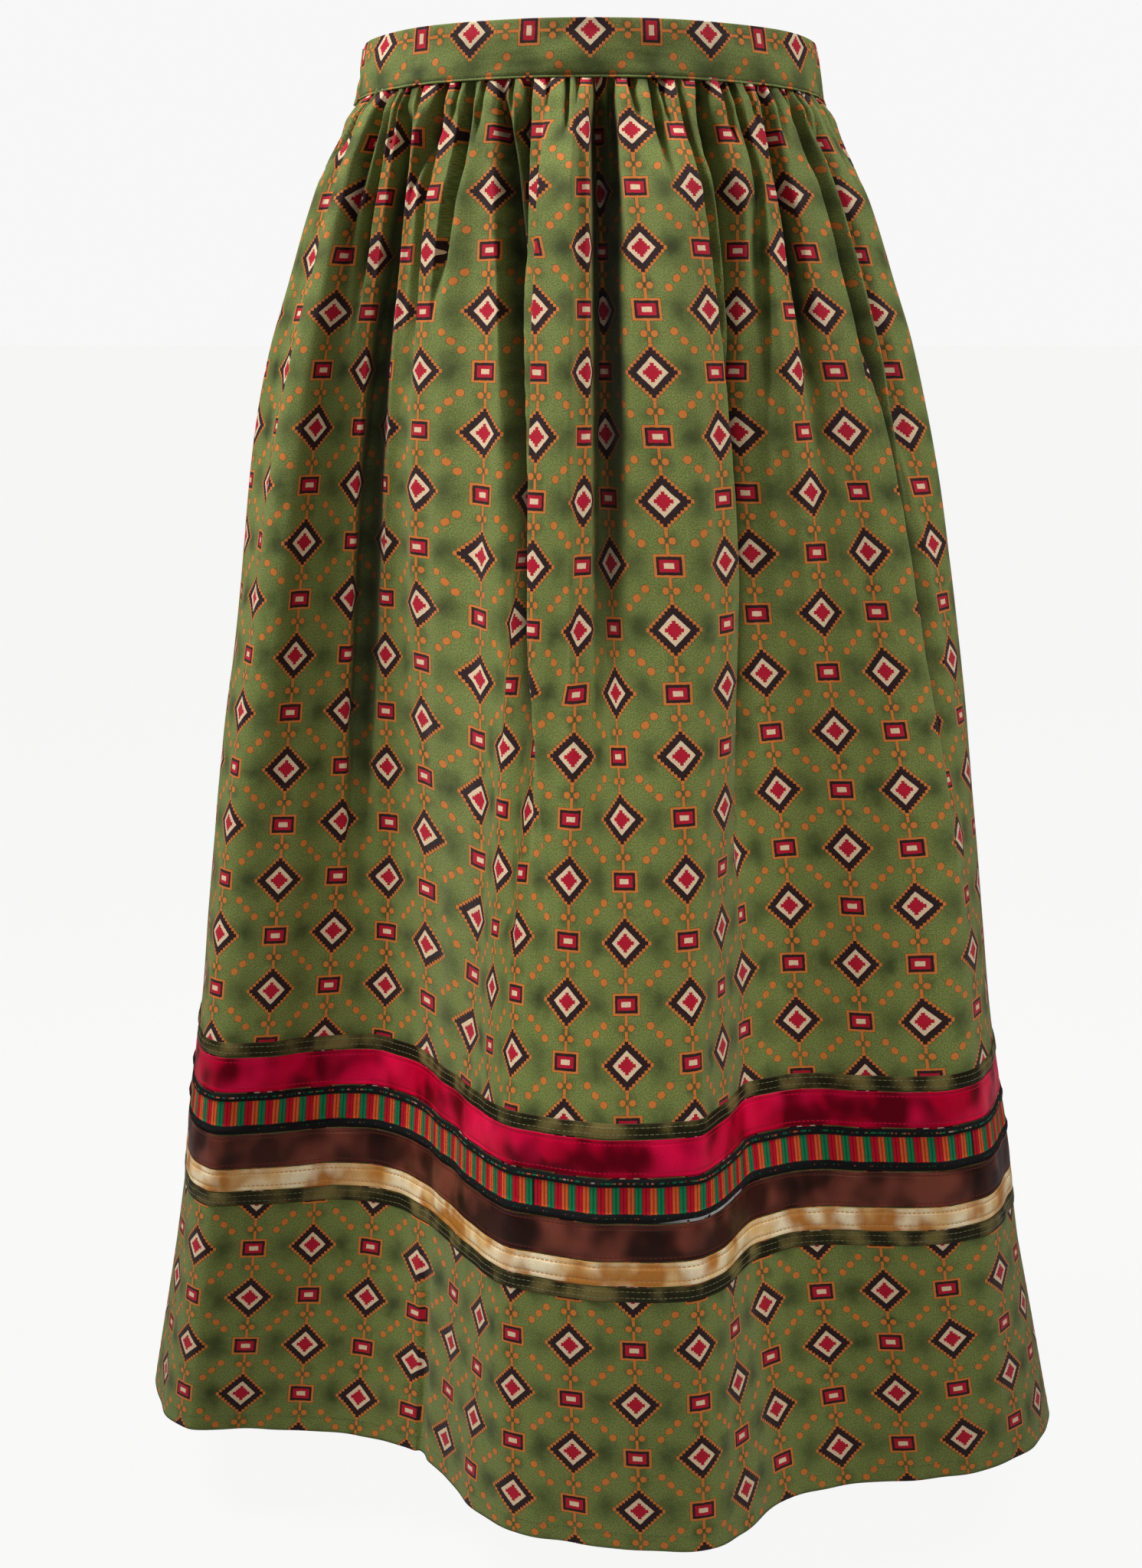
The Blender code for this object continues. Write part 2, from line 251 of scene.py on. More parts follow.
# %% Smooth steps and curves
def smooth(low, high, value):
    """0 below low, 1 above high, and 3t^2 - 2t^3 between them."""
    t = np.clip((value - low) / (high - low), 0.0, 1.0)
    return t * t * (3.0 - 2.0 * t)


def curve_through(knots, values, where):
    """Cubic pieces through values at knots; the slope at a knot is that between its two
    neighbours."""
    slopes = np.empty_like(values)
    slopes[1:-1] = (values[2:] - values[:-2]) / (knots[2:] - knots[:-2])
    slopes[0] = (values[1] - values[0]) / (knots[1] - knots[0])
    slopes[-1] = (values[-1] - values[-2]) / (knots[-1] - knots[-2])
    i = np.clip(np.searchsorted(knots, where, side="right") - 1, 0, len(knots) - 2)
    step = knots[i + 1] - knots[i]
    t = (where - knots[i]) / step
    start = values[i] * (1 + 2 * t) * (1 - t) ** 2 + slopes[i] * step * t * (1 - t) ** 2
    end = values[i + 1] * t * t * (3 - 2 * t) - slopes[i + 1] * step * t * t * (1 - t)
    return start + end


def table_curve(table, drop):
    """A two-column table as a smooth curve, level beyond its ends."""
    knots, values = np.array(table).T
    return curve_through(knots, values, np.clip(drop, knots[0], knots[-1]))


print("half of the waist's shape is left at a drop of",
      round(float(np.interp(0.5, *np.array(SPREAD).T[::-1])), 3), "m")


# %% Outline
def drape_curve(column, u):
    """One column of the drape as a smooth closed curve of u."""
    table = np.array(DRAPE, dtype=float) / 1000
    around = np.vstack([table[-3:], table, table[:3]])
    around[:3, 0] -= ROUND_CUT
    around[-3:, 0] += ROUND_CUT
    return curve_through(around[:, 0], around[:, column], np.mod(u, ROUND_CUT))


def outline(u, drop):
    """The plain outline: (1 - spread) x oval + spread x low, where low goes from the
    ribbons' outline to the hem's as flare goes from 0 to 1."""
    angle = 2 * np.pi * u / ROUND_CUT
    spread = table_curve(SPREAD, drop)
    flare = table_curve(FLARE, drop)
    oval_x = -(WAIST_HALF_WIDTH + BAND_FLARE) * np.cos(angle)
    oval_y = -(WAIST_HALF_DEPTH + BAND_FLARE) * np.sin(angle)
    low_x = drape_curve(1, u) * (1 - flare) + drape_curve(3, u) * flare
    low_y = drape_curve(2, u) * (1 - flare) + drape_curve(4, u) * flare
    return np.stack([oval_x * (1 - spread) + low_x * spread,
                     oval_y * (1 - spread) + low_y * spread], axis=-1)


def outward(u, drop):
    """The level direction across the outline's run: (dy, -dx), made one long."""
    run = outline(u + 0.003, drop) - outline(u - 0.003, drop)
    across = np.stack([run[..., 1], -run[..., 0]], axis=-1)
    return across / np.linalg.norm(across, axis=-1, keepdims=True)


print("the hem's front reaches y =", round(float(outline(0.504, HEM_DROP)[1]), 3))

# %% [markdown]
# ## Folds and creases
#
# Gathered cotton hangs in long soft folds, and just under the band in short crevices with
# rounded puffs between them.  Each row below is one of them: where it runs,
# how wide its two flanks and its top are, how far it stands out (+) or lies in (-), and
# where it starts and ends.  A flank of 3 or 4 mm is an edge that lies over its neighbour.
# The rows of the back are of the same kinds and sizes.

# %% Fold tables
LONG_FOLDS = (
    # u_top, u_low, rise, top, fall, height, start, end, in millimetres
    (100, 96, 30, 4, 22, 8, 50, 420),
    (168, 170, 34, 6, 16, 10, 40, 540),
    (324, 327, 3, 3, 12, -4, 780, 1500),
    (237, 250, 3, 7, 18, -22, 44, 620),
    (314, 332, 34, 34, 44, 9, 70, 520),
    (418, 468, 28, 4, 3, -20, 50, 560),
    (466, 474, 4, 34, 4, 11, 60, 560),
    (510, 508, 3, 14, 22, -20, 40, 460),
    (608, 618, 40, 44, 6, 12, 60, 560),
    (645, 643, 4, 14, 16, -26, 50, 560),
    (692, 704, 24, 20, 26, 8, 60, 480),
    (708, 676, 22, 4, 4, -10, 90, 260),
    (738, 730, 3, 4, 16, -12, 40, 280),
    (802, 834, 4, 8, 20, -22, 44, 560),
    (880, 886, 30, 20, 30, 8, 60, 520),
    (930, 936, 16, 4, 6, -10, 60, 420),
    (975, 980, 24, 4, 20, 6, 60, 360),
    (1090, 1096, 26, 6, 30, 9, 36, 500),
    (1168, 1160, 6, 4, 24, -13, 40, 560),
    (1235, 1240, 26, 6, 20, 13, 36, 580),
    (1312, 1318, 22, 6, 8, -13, 45, 480),
    (1400, 1408, 24, 10, 16, 12, 36, 560),
    (1474, 1468, 5, 6, 24, -13, 36, 440),
    (1545, 1552, 26, 6, 20, 12, 50, 540),
    (1618, 1612, 16, 4, 8, -13, 36, 580),
    (1700, 1708, 24, 8, 20, 11, 40, 480),
    (1790, 1796, 6, 4, 26, -12, 50, 420),
    (1870, 1876, 26, 6, 24, 10, 45, 500),
    (1946, 1950, 24, 6, 24, -8, 60, 400),
)
GATHER_CREASES = (
    # u_top, u_low, rise, top, fall, height, start, end, in millimetres
    (22, 18, 4, 2, 7, -8, 36, 110),
    (52, 44, 3, 2, 9, -9, 36, 130),
    (84, 70, 3, 2, 8, -9, 36, 95),
    (134, 84, 3, 2, 8, -9, 36, 95),
    (152, 132, 3, 2, 6, -8, 36, 72),
    (182, 178, 3, 2, 10, -12, 36, 170),
    (207, 214, 14, 3, 3, -16, 40, 190),
    (223, 219, 3, 2, 4, -10, 36, 90),
    (234, 229, 3, 2, 4, -9, 36, 75),
    (256, 262, 3, 2, 6, -9, 36, 62),
    (297, 262, 3, 3, 9, -15, 36, 110),
    (272, 262, 8, 3, 12, 6, 55, 120),
    (303, 288, 20, 3, 3, -16, 40, 240),
    (322, 320, 3, 2, 5, -6, 36, 70),
    (338, 320, 3, 3, 16, -14, 36, 190),
    (360, 356, 3, 2, 5, -8, 36, 80),
    (383, 434, 3, 5, 15, -20, 36, 330),
    (399, 402, 3, 2, 4, -8, 36, 70),
    (425, 434, 12, 3, 3, -16, 36, 170),
    (447, 450, 3, 2, 4, -6, 36, 64),
    (472, 474, 3, 2, 4, -10, 36, 80),
    (486, 483, 3, 2, 3, -8, 36, 60),
    (510, 504, 3, 6, 22, -20, 36, 330),
    (530, 533, 8, 3, 3, -15, 36, 170),
    (552, 560, 3, 2, 10, -10, 36, 72),
    (579, 584, 3, 3, 12, -12, 36, 120),
    (593, 598, 3, 2, 6, -8, 36, 80),
    (616, 636, 3, 4, 6, -15, 36, 330),
    (648, 632, 5, 6, 14, -18, 40, 95),
    (680, 684, 3, 2, 7, -9, 36, 84),
    (698, 712, 8, 3, 3, -15, 36, 120),
    (721, 722, 3, 2, 4, -9, 36, 66),
    (743, 733, 3, 4, 13, -18, 36, 220),
    (766, 764, 3, 2, 5, -8, 36, 80),
    (788, 795, 3, 2, 8, -12, 36, 100),
    (804, 796, 3, 4, 16, -16, 36, 260),
    (824, 828, 3, 2, 6, -8, 36, 80),
    (833, 838, 3, 3, 14, -14, 60, 330),
    (846, 836, 3, 3, 8, -10, 36, 120),
    (872, 868, 3, 2, 8, -10, 36, 110),
    (902, 905, 7, 2, 4, -10, 36, 150),
    (934, 930, 3, 2, 7, -9, 36, 90),
    (962, 967, 3, 2, 8, -10, 36, 130),
    (990, 988, 3, 2, 6, -8, 36, 80),
    (1032, 1036, 3, 2, 8, -9, 36, 100),
    (1066, 1060, 3, 2, 10, -12, 36, 160),
    (1104, 1108, 7, 2, 3, -10, 36, 120),
    (1140, 1132, 3, 2, 7, -9, 36, 80),
    (1178, 1172, 3, 3, 14, -15, 36, 240),
    (1206, 1210, 3, 2, 5, -8, 36, 70),
    (1240, 1236, 3, 2, 9, -12, 36, 130),
    (1272, 1280, 12, 3, 3, -14, 36, 180),
    (1306, 1304, 3, 2, 6, -9, 36, 90),
    (1344, 1336, 3, 3, 12, -15, 36, 200),
    (1372, 1376, 3, 2, 6, -8, 36, 74),
    (1408, 1404, 3, 2, 8, -12, 36, 120),
    (1446, 1452, 14, 3, 3, -15, 36, 210),
    (1480, 1478, 3, 2, 5, -9, 36, 80),
    (1512, 1506, 3, 3, 12, -14, 36, 160),
    (1544, 1548, 3, 2, 6, -9, 36, 84),
    (1582, 1590, 8, 3, 3, -14, 36, 170),
    (1622, 1616, 3, 3, 10, -15, 36, 190),
    (1654, 1656, 3, 2, 7, -9, 36, 80),
    (1690, 1684, 3, 2, 9, -12, 36, 130),
    (1724, 1730, 8, 2, 3, -12, 36, 140),
    (1762, 1758, 3, 2, 6, -9, 36, 90),
    (1800, 1794, 3, 3, 12, -14, 36, 200),
    (1836, 1840, 3, 2, 6, -9, 36, 80),
    (1872, 1866, 3, 2, 9, -12, 36, 130),
    (1908, 1912, 8, 2, 3, -10, 36, 120),
    (1942, 1938, 3, 2, 7, -9, 36, 84),
    (1982, 1976, 3, 2, 8, -10, 36, 120),
)
print(len(LONG_FOLDS), "long folds and", len(GATHER_CREASES), "short creases")


# %% Folds and waves
def folds(table, u, drop):
    """Sum over the rows of height x across x along.  The middle goes from u_top to u_low;
    across rises over one flank, is 1 over the top and falls over the other; along begins
    round start, and fades from 0.45 of end to end."""
    relief = np.zeros(np.broadcast(u, drop).shape)
    for row in table:
        u_top, u_low, rise, top, fall, height, start, end = np.array(row) / 1000
        middle = u_top + (u_low - u_top) * np.clip((drop - start) / (end - start), 0, 1)
        x = np.mod(u - middle + ROUND_CUT / 2, ROUND_CUT) - ROUND_CUT / 2
        across = smooth(-rise - top / 2, -top / 2, x) * (1 - smooth(top / 2, top / 2 + fall, x))
        lead = min(0.045, 0.16 * (end - start))
        begun = smooth(start - 0.012, start + lead, drop)
        relief = relief + height * across * begun * (1 - smooth(0.45 * end, end, drop))
    return relief


def soft_waves(u, drop):
    """Shallow uneven waves, a sum of sines of u and drop, about a millimetre high."""
    turn = 2 * np.pi * u / ROUND_CUT
    wave = np.sin(31 * turn + 9 * drop) * np.sin(13 * drop + 5 * turn + 0.6)
    wave = wave + 0.6 * np.sin(53 * turn - 11 * drop + 1.9) * np.sin(21 * drop + 11 * turn)
    return 0.0009 * wave * smooth(0.05, 0.25, drop)


print("the waves reach", round(1000 * float(soft_waves(np.linspace(0, 2, 900), 0.5).max()), 2),
      "mm half way down")

# %% Relief
GATHER_STRENGTH = 1.2


def puffs(u, drop):
    """Just under the band the cloth stands out 4 mm, then sinks back lower down."""
    return 0.0042 * smooth(0.036, 0.050, drop) * np.exp(-np.maximum(drop - 0.05, 0) / 0.09)


def relief(u, drop):
    """How far the cloth stands out of its plain outline.  The side seams are a shallow
    groove, and behind the band the cloth is tucked in."""
    out = folds(LONG_FOLDS, u, drop) + GATHER_STRENGTH * folds(GATHER_CREASES, u, drop)
    out = out + soft_waves(u, drop) + puffs(u, drop)
    side = np.abs(np.mod(u + PANEL_CUT / 2, PANEL_CUT) - PANEL_CUT / 2)
    out = out - 0.0015 * np.exp(-(side / 0.003) ** 2)
    return out * smooth(0.033, 0.040, drop) - 0.0013 * (1 - smooth(0.034, 0.039, drop))


def cloth(u, drop):
    """The cloth's outer points: outline + relief x outward, level by level.  Near the waist
    the levels tilt with the band: z = -drop - tilt x y."""
    drop = np.broadcast_to(drop, np.broadcast(u, drop).shape)
    plan = outline(u, drop) + relief(u, drop)[..., None] * outward(u, drop)
    tilt = WAIST_TILT * (1 - smooth(BAND_HEIGHT, TILT_ENDS, drop))
    height = -drop - tilt * plan[..., 1]
    return np.concatenate([plan, height[..., None]], axis=-1)


print("deepest crease in front:", round(float(relief(np.linspace(0, 1, 900), 0.06).min()), 4))

# %% [markdown]
# ## The grid
#
# Columns run down the cloth and rows round it.  Columns are closer together where many
# creases pass, so that a sharp edge doesn't turn into a staircase.  The rows are closest
# under the band.  The ribbons use the same columns as the panels, and so follow every facet
# of the cloth that they lie on.

# %% Columns and rows
FRONT_COLUMNS = 452
BACK_COLUMNS = 400


def panel_columns(start, count):
    """Columns over one panel.  Their density is 1 plus a bump of 1.6 at each sharp crease;
    equal steps of its running sum give the columns."""
    u = np.linspace(start, start + PANEL_CUT, 4001)
    density = np.ones_like(u)
    for row in GATHER_CREASES + LONG_FOLDS:
        if min(row[2], row[4]) > 8:
            continue
        middle = (row[0] + row[1]) / 2000
        reach = 0.004 + abs(row[0] - row[1]) / 2000
        density += 1.6 * np.exp(-((u - middle) / reach) ** 4)
    total = np.concatenate([[0], np.cumsum((density[1:] + density[:-1]) / 2)])
    return np.interp(np.linspace(0, total[-1], count + 1), total, u)


front_u = panel_columns(0.0, FRONT_COLUMNS)
back_u = panel_columns(PANEL_CUT, BACK_COLUMNS)
ROUND_U = np.concatenate([front_u, back_u[1:]])
print("columns are", round(1000 * np.diff(ROUND_U).min(), 2), "to",
      round(1000 * np.diff(ROUND_U).max(), 2), "mm apart")

# %% Ribbons' edges, and rows
RIBBONS = (
    # name, width, slot; from the lowest up
    ("olive_ribbon_lower", 0.010, "olive_ribbon"),
    ("gold_ribbon", 0.016, "gold_satin"),
    ("brown_ribbon", 0.025, "brown_satin"),
    ("woven_trim", 0.030, "woven_trim"),
    ("crimson_ribbon", 0.025, "crimson_satin"),
    ("olive_ribbon_upper", 0.010, "olive_ribbon"),
)
LOWEST_RIBBON = 0.175
RIBBON_GAP = 0.0008
DROP_OF_CLOTH = 0.985


def ribbon_edges():
    """The drops of each ribbon's upper and lower edge.  A metre of cloth drops 0.985 m
    there, because it leans out."""
    edges = {}
    above_hem = LOWEST_RIBBON
    for name, width, _ in RIBBONS:
        edges[name] = (HEM_DROP - DROP_OF_CLOTH * (above_hem + width),
                       HEM_DROP - DROP_OF_CLOTH * above_hem)
        above_hem += width + RIBBON_GAP
    return edges


RIBBON_EDGES = ribbon_edges()
ROW_DROPS = np.concatenate([
    [0.0330, 0.0352],
    np.linspace(0.0368, 0.0800, 17),
    np.linspace(0.0840, 0.2400, 32),
    np.linspace(0.2500, 0.6200, 30),
    np.linspace(0.6320, 0.7560, 12),
    np.linspace(0.7680, 0.9160, 10),
    [0.9215, 0.9260, 0.9300, 0.9320],
])
print(len(ROW_DROPS), "rows; triangles on the front panel:",
      4 * FRONT_COLUMNS * (len(ROW_DROPS) - 1))

# %% [markdown]
# ## Where the print lies
#
# The print is stuck to the cloth and not to the room, so its coordinates are lengths
# measured along the cloth itself.  Going round, they are the arc length of each row.  The
# cloth that is tucked away in a fold is added where the fold is deepest, so that a motif
# is cut there, as on the real skirt.  The chains of the print are 42 mm apart when flat,
# and the photo shows where each of them runs down the front.  Going down, the coordinate
# is the height above the hem.


# %% Chains of the print
CHAIN_DROPS = (100, 220, 350, 500, 640, 930)
CHAIN_PATHS = (
    # where each chain runs at those drops, in millimetres; first and last are side seams
    (0, 0, 0, 0, 0, 0),
    (20, 20, 20, 20, 20, 20),
    (56, 60, 62, 60, 60, 60),
    (88, 96, 102, 100, 100, 100),
    (116, 130, 142, 139, 138, 138),
    (180, 186, 188, 190, 187, 186),
    (226, 232, 236, 238, 230, 228),
    (266, 256, 266, 277, 275, 268),
    (308, 308, 308, 314, 320, 313),
    (386, 389, 392, 401, 384, 358),
    (420, 429, 427, 424, 416, 398),
    (444, 459, 457, 443, 439, 444),
    (498, 497, 491, 485, 481, 488),
    (509, 509, 517, 523, 524, 530),
    (548, 554, 563, 568, 570, 571),
    (604, 610, 614, 612, 608, 616),
    (640, 645, 652, 642, 648, 655),
    (675, 661, 671, 687, 694, 698),
    (727, 724, 726, 733, 738, 740),
    (752, 762, 771, 781, 781, 782),
    (800, 806, 820, 842, 840, 828),
    (846, 845, 856, 874, 874, 866),
    (905, 900, 904, 912, 912, 906),
    (945, 944, 946, 948, 948, 946),
    (985, 985, 986, 987, 987, 987),
    (1008, 1008, 1008, 1008, 1008, 1008),
)
CHAIN_FLATS = (0,) + tuple(range(21, 1008, 42)) + (1008,)


# %% Lengths on the cloth
def arc_lengths(points):
    """Distances between neighbours along each row."""
    return np.linalg.norm(np.diff(points, axis=1), axis=-1)


def tucked_share(u, drop):
    """Where cloth hides: the square of how deep the folds and creases lie in, and never
    quite 0."""
    deep = np.maximum(-folds(LONG_FOLDS, u, drop) - folds(GATHER_CREASES, u, drop), 0)
    return deep ** 2 + 1e-9


def chain_places(drop):
    """Where each chain of the print runs at a drop, with the two side seams at the ends."""
    table = np.array(CHAIN_PATHS, dtype=float) / 1000
    knots = np.array(CHAIN_DROPS) / 1000
    return np.array([np.interp(drop, knots, row) for row in table])


print("the first five chains at a drop of half a metre:", chain_places(0.5)[1:6].round(3))


# %% Cloth coordinates
def across_cloth(points, u, drop):
    """The way round along the cloth.  Between two chains it grows by 42 mm: by the arc
    length that shows, and by hidden cloth where a crease lies.  Where more than 42 mm
    shows, the flanks of the folds give way first, towards the arc of the outline alone."""
    rows = []
    for row, height in enumerate(drop):
        steps = arc_lengths(points[row:row + 1])[0]
        middle = (u[1:] + u[:-1]) / 2
        plain_steps = arc_lengths(outline(u, np.full(u.shape, height))[None])[0]
        shown = np.concatenate([[0], np.cumsum(steps)])
        plain = np.concatenate([[0], np.cumsum(np.minimum(plain_steps, steps))])
        hidden = np.concatenate([[0], np.cumsum(tucked_share(middle, height) * steps)])
        if u[0] < 0.5:
            at, flat = chain_places(height), np.array(CHAIN_FLATS) / 1000
        else:
            at = np.linspace(u[0], u[-1], 9)
            flat = at
        knot = np.clip(np.searchsorted(at, u, side="right") - 1, 0, len(at) - 2)
        full, low = np.diff(np.interp(at, u, shown)), np.diff(np.interp(at, u, plain))
        cut = np.diff(flat)
        lean = np.clip((cut - low) / (full - low + 1e-9), 0, 1)
        leaning = plain + lean[knot] * (shown - plain)
        start = (np.interp(at, u, plain)[knot] * (1 - lean[knot])
                 + np.interp(at, u, shown)[knot] * lean[knot])
        length = low + lean * (full - low)
        stretch = np.minimum(1.0, cut / length)
        hidden_at = np.interp(at, u, hidden)
        spare = (cut - stretch * length) / np.diff(hidden_at)
        rows.append(flat[knot] + stretch[knot] * (leaning - start)
                    + spare[knot] * (hidden - hidden_at[knot]))
    return np.array(rows)


front_points = cloth(front_u[None, :], ROW_DROPS[:, None])
back_points = cloth(back_u[None, :], ROW_DROPS[:, None])
front_across = across_cloth(front_points, front_u, ROW_DROPS)
back_across = across_cloth(back_points, back_u, ROW_DROPS)
row_gaps = np.linalg.norm(np.diff(front_points, axis=0), axis=-1).mean(axis=1)
UP_CLOTH = np.concatenate([np.cumsum(row_gaps[::-1])[::-1], [0.0]])
print("cloth from waist seam to hem:", round(float(UP_CLOTH[2]), 3), "m; front arcs:",
      [round(float(arc_lengths(front_points)[row].sum()), 2) for row in (4, 20, 50, 80, -1)])


# %% [markdown]
# ## From a grid of points to a mesh
#
# A grid needs only its corner numbers to become a mesh.  They are worked out as whole
# arrays.  A loop that closes on itself uses its first column again, but keeps the full
# length in its UV map, so the pattern doesn't jump back at the join.


# %% Grid to mesh
def corner_numbers(rows, columns):
    """The four corners of each cell of a grid, top left first, seen from outside."""
    number = np.arange(rows * columns).reshape(rows, columns)
    corners = [number[:-1, :-1], number[1:, :-1], number[1:, 1:], number[:-1, 1:]]
    return np.stack(corners, axis=-1).reshape(-1, 4)


def grid_piece(name, points, uv, closed=False):
    """A mesh from a grid of points and its UV map; closed joins the last column to the
    first, and uv then has one column more than points."""
    rows, columns = points.shape[:2]
    uv_corners = corner_numbers(rows, uv.shape[1])
    corners = uv_corners
    if closed:
        row_of, column_of = np.divmod(uv_corners, columns + 1)
        corners = row_of * columns + column_of % columns
    mesh = bpy.data.meshes.new(name)
    mesh.vertices.add(rows * columns)
    mesh.vertices.foreach_set("co", points.reshape(-1))
    mesh.loops.add(corners.size)
    mesh.loops.foreach_set("vertex_index", corners.reshape(-1))
    mesh.polygons.add(len(corners))
    mesh.polygons.foreach_set("loop_start", np.arange(len(corners)) * 4)
    mesh.update(calc_edges=True)
    layer = mesh.uv_layers.new(name="cloth")
    layer.data.foreach_set("uv", uv.reshape(-1, 2)[uv_corners.reshape(-1)].reshape(-1))
    mesh.shade_smooth()
    mesh.validate()
    piece = bpy.data.objects.new(name, mesh)
    bpy.context.scene.collection.objects.link(piece)
    return piece


print("a grid of 3 x 4 points has the cells", corner_numbers(3, 4).tolist())


# %% Walls and normals
def give_wall(piece, thickness, inner_slot=0):
    """Gives a sheet its thickness, inwards; inner_slot is its wrong side's material."""
    wall = piece.modifiers.new("wall", "SOLIDIFY")
    wall.thickness = thickness
    wall.offset = -1.0
    wall.material_offset = inner_slot


def surface_normals(points, closed):
    """Unit normals of a grid: the cross product of its two runs, down and along."""
    if closed:
        ring = np.concatenate([points[:, -1:], points, points[:, :1]], axis=1)
        along = (ring[:, 2:] - ring[:, :-2]) / 2
    else:
        along = np.gradient(points, axis=1)
    down = np.gradient(points, axis=0)
    normal = np.cross(down, along)
    return normal / np.linalg.norm(normal, axis=-1, keepdims=True)


print("the middle of the hem faces", surface_normals(front_points, False)[-1, 226].round(2))


# %% [markdown]
# ## Small tools for materials
#
# Materials here are sums and comparisons of coordinates.  A wire stands for the output of a
# node: adding, multiplying or comparing wires reads like plain arithmetic, and leaves a node
# for each step.  A function marked as a node group is drawn once, as a group with named
# inputs and outputs; calling it places that group in a material with its own values.


# %% Wires
class Wire:
    """The output of a node.  Each step of arithmetic with it adds a Math node."""

    def __init__(self, socket):
        self.socket = socket

    def __add__(self, other):
        return calc("ADD", self, other)

    def __sub__(self, other):
        return calc("SUBTRACT", self, other)

    def __mul__(self, other):
        return calc("MULTIPLY", self, other)

    def __truediv__(self, other):
        return calc("DIVIDE", self, other)

    def __mod__(self, other):
        return calc("FLOORED_MODULO", self, other)

    def __lt__(self, other):
        return calc("LESS_THAN", self, other)

    def __gt__(self, other):
        return calc("GREATER_THAN", self, other)

    def __abs__(self):
        return calc("ABSOLUTE", self)


def join_to(value, socket):
    """Joins a wire to an input, or sets a plain number or colour there."""
    if isinstance(value, Wire):
        socket.id_data.links.new(value.socket, socket)
    elif socket.type == "RGBA":
        socket.default_value = (*value, 1.0)
    else:
        socket.default_value = value


def tree_of(*values):
    """The node tree that the wires among some values are in."""
    return next(value.socket.id_data for value in values if isinstance(value, Wire))


def new_node(tree, kind, *values):
    """A node in the next place of a wide table, with values at its first inputs."""
    node = tree.nodes.new(kind)
    count = len(tree.nodes)
    node.location = (180 * (count % 14), -160 * (count // 14))
    for value, socket in zip(values, node.inputs):
        join_to(value, socket)
    return node


print("steps of arithmetic that a wire knows:", sum(map(callable, vars(Wire).values())) - 1)


# %% Node groups
def node_group(inputs, outputs):
    """Draws a function of wires as a node group, and makes a call place that group."""
    kinds = {"Place": "NodeSocketVector", "Centre": "NodeSocketVector", "Color": "NodeSocketColor"}

    def draw(function):
        tree = bpy.data.node_groups.new(function.__name__, "ShaderNodeTree")
        for names, way in ((inputs, "INPUT"), (outputs, "OUTPUT")):
            for name in names:
                kind = kinds.get(name, "NodeSocketFloat")
                tree.interface.new_socket(name, in_out=way, socket_type=kind)
        entry = new_node(tree, "NodeGroupInput")
        leave = new_node(tree, "NodeGroupOutput")
        results = function(*[Wire(entry.outputs[name]) for name in inputs])
        results = results if isinstance(results, tuple) else (results,)
        for result, name in zip(results, outputs):
            join_to(result, leave.inputs[name])

        def place(*values):
            node = new_node(tree_of(*values), "ShaderNodeGroup")
            node.node_tree = tree
            for value, socket in zip(values, node.inputs):
                join_to(value, socket)
            wires = [Wire(socket) for socket in node.outputs]
            return wires if len(wires) > 1 else wires[0]
        return place
    return draw


def calc(operation, *values):
    """One step of arithmetic."""
    node = new_node(tree_of(*values), "ShaderNodeMath", *values)
    node.operation = operation
    return Wire(node.outputs[0])


print("node groups so far:", len(bpy.data.node_groups))


# %% Node helpers
def wave(value, length):
    """The sine of a value, with a wavelength."""
    return calc("SINE", value * (2 * np.pi / length))


def any_of(*masks):
    """1 where any mask is 1."""
    total = masks[0]
    for mask in masks[1:]:
        total = calc("MAXIMUM", total, mask)
    return total


def ramp(value, low, high, to_low=0.0, to_high=1.0):
    """A smooth step: to_low below low and to_high above high."""
    node = new_node(tree_of(value), "ShaderNodeMapRange", value, low, high, to_low, to_high)
    node.interpolation_type = "SMOOTHSTEP"
    return Wire(node.outputs[0])


def blend(share, first, second, way="MIX"):
    """Mixes two colours."""
    node = new_node(tree_of(share, first, second), "ShaderNodeMix")
    node.data_type = "RGBA"
    node.blend_type = way
    for number, value in ((0, share), (6, first), (7, second)):
        join_to(value, node.inputs[number])
    return Wire(node.outputs[2])


def join(x, y, z=0.0):
    """A vector from its parts."""
    return Wire(new_node(tree_of(x, y, z), "ShaderNodeCombineXYZ", x, y, z).outputs[0])


def split(vector):
    """The first two parts of a vector."""
    node = new_node(tree_of(vector), "ShaderNodeSeparateXYZ", vector)
    return Wire(node.outputs[0]), Wire(node.outputs[1])


def shade(colour, factor):
    """A colour times a number."""
    return blend(1.0, colour, join(factor, factor, factor), "MULTIPLY")


print("helpers for", [step.__name__ for step in (wave, any_of, ramp, blend, join, split, shade)])


# %% Noise, bumps and colours
def noise(place, scale, detail=2.0, stretch=(1, 1, 1)):
    """Soft noise from 0 to 1, with its own stretch."""
    mapping = new_node(tree_of(place), "ShaderNodeMapping", place)
    mapping.inputs["Scale"].default_value = stretch
    node = new_node(tree_of(place), "ShaderNodeTexNoise", Wire(mapping.outputs[0]))
    node.inputs["Scale"].default_value = scale
    node.inputs["Detail"].default_value = detail
    return Wire(node.outputs[0])


def bump(height, distance, strength, onto=None):
    """Turns a height into a normal; distance is the height's unit in metres."""
    node = new_node(tree_of(height), "ShaderNodeBump")
    for name, value in (("Strength", strength), ("Distance", distance), ("Height", height)):
        join_to(value, node.inputs[name])
    if onto:
        join_to(onto, node.inputs["Normal"])
    return Wire(node.outputs[0])


def srgb(red, green, blue):
    """A colour as seen on a screen, 0 to 255, as the linear values that a shader uses:
    ((c + 0.055) / 1.055) to the power 2.4, or c / 12.92 near black."""
    c = np.array([red, green, blue]) / 255
    linear = np.where(c > 0.04045, ((c + 0.055) / 1.055) ** 2.4, c / 12.92)
    return tuple(float(x) for x in linear)


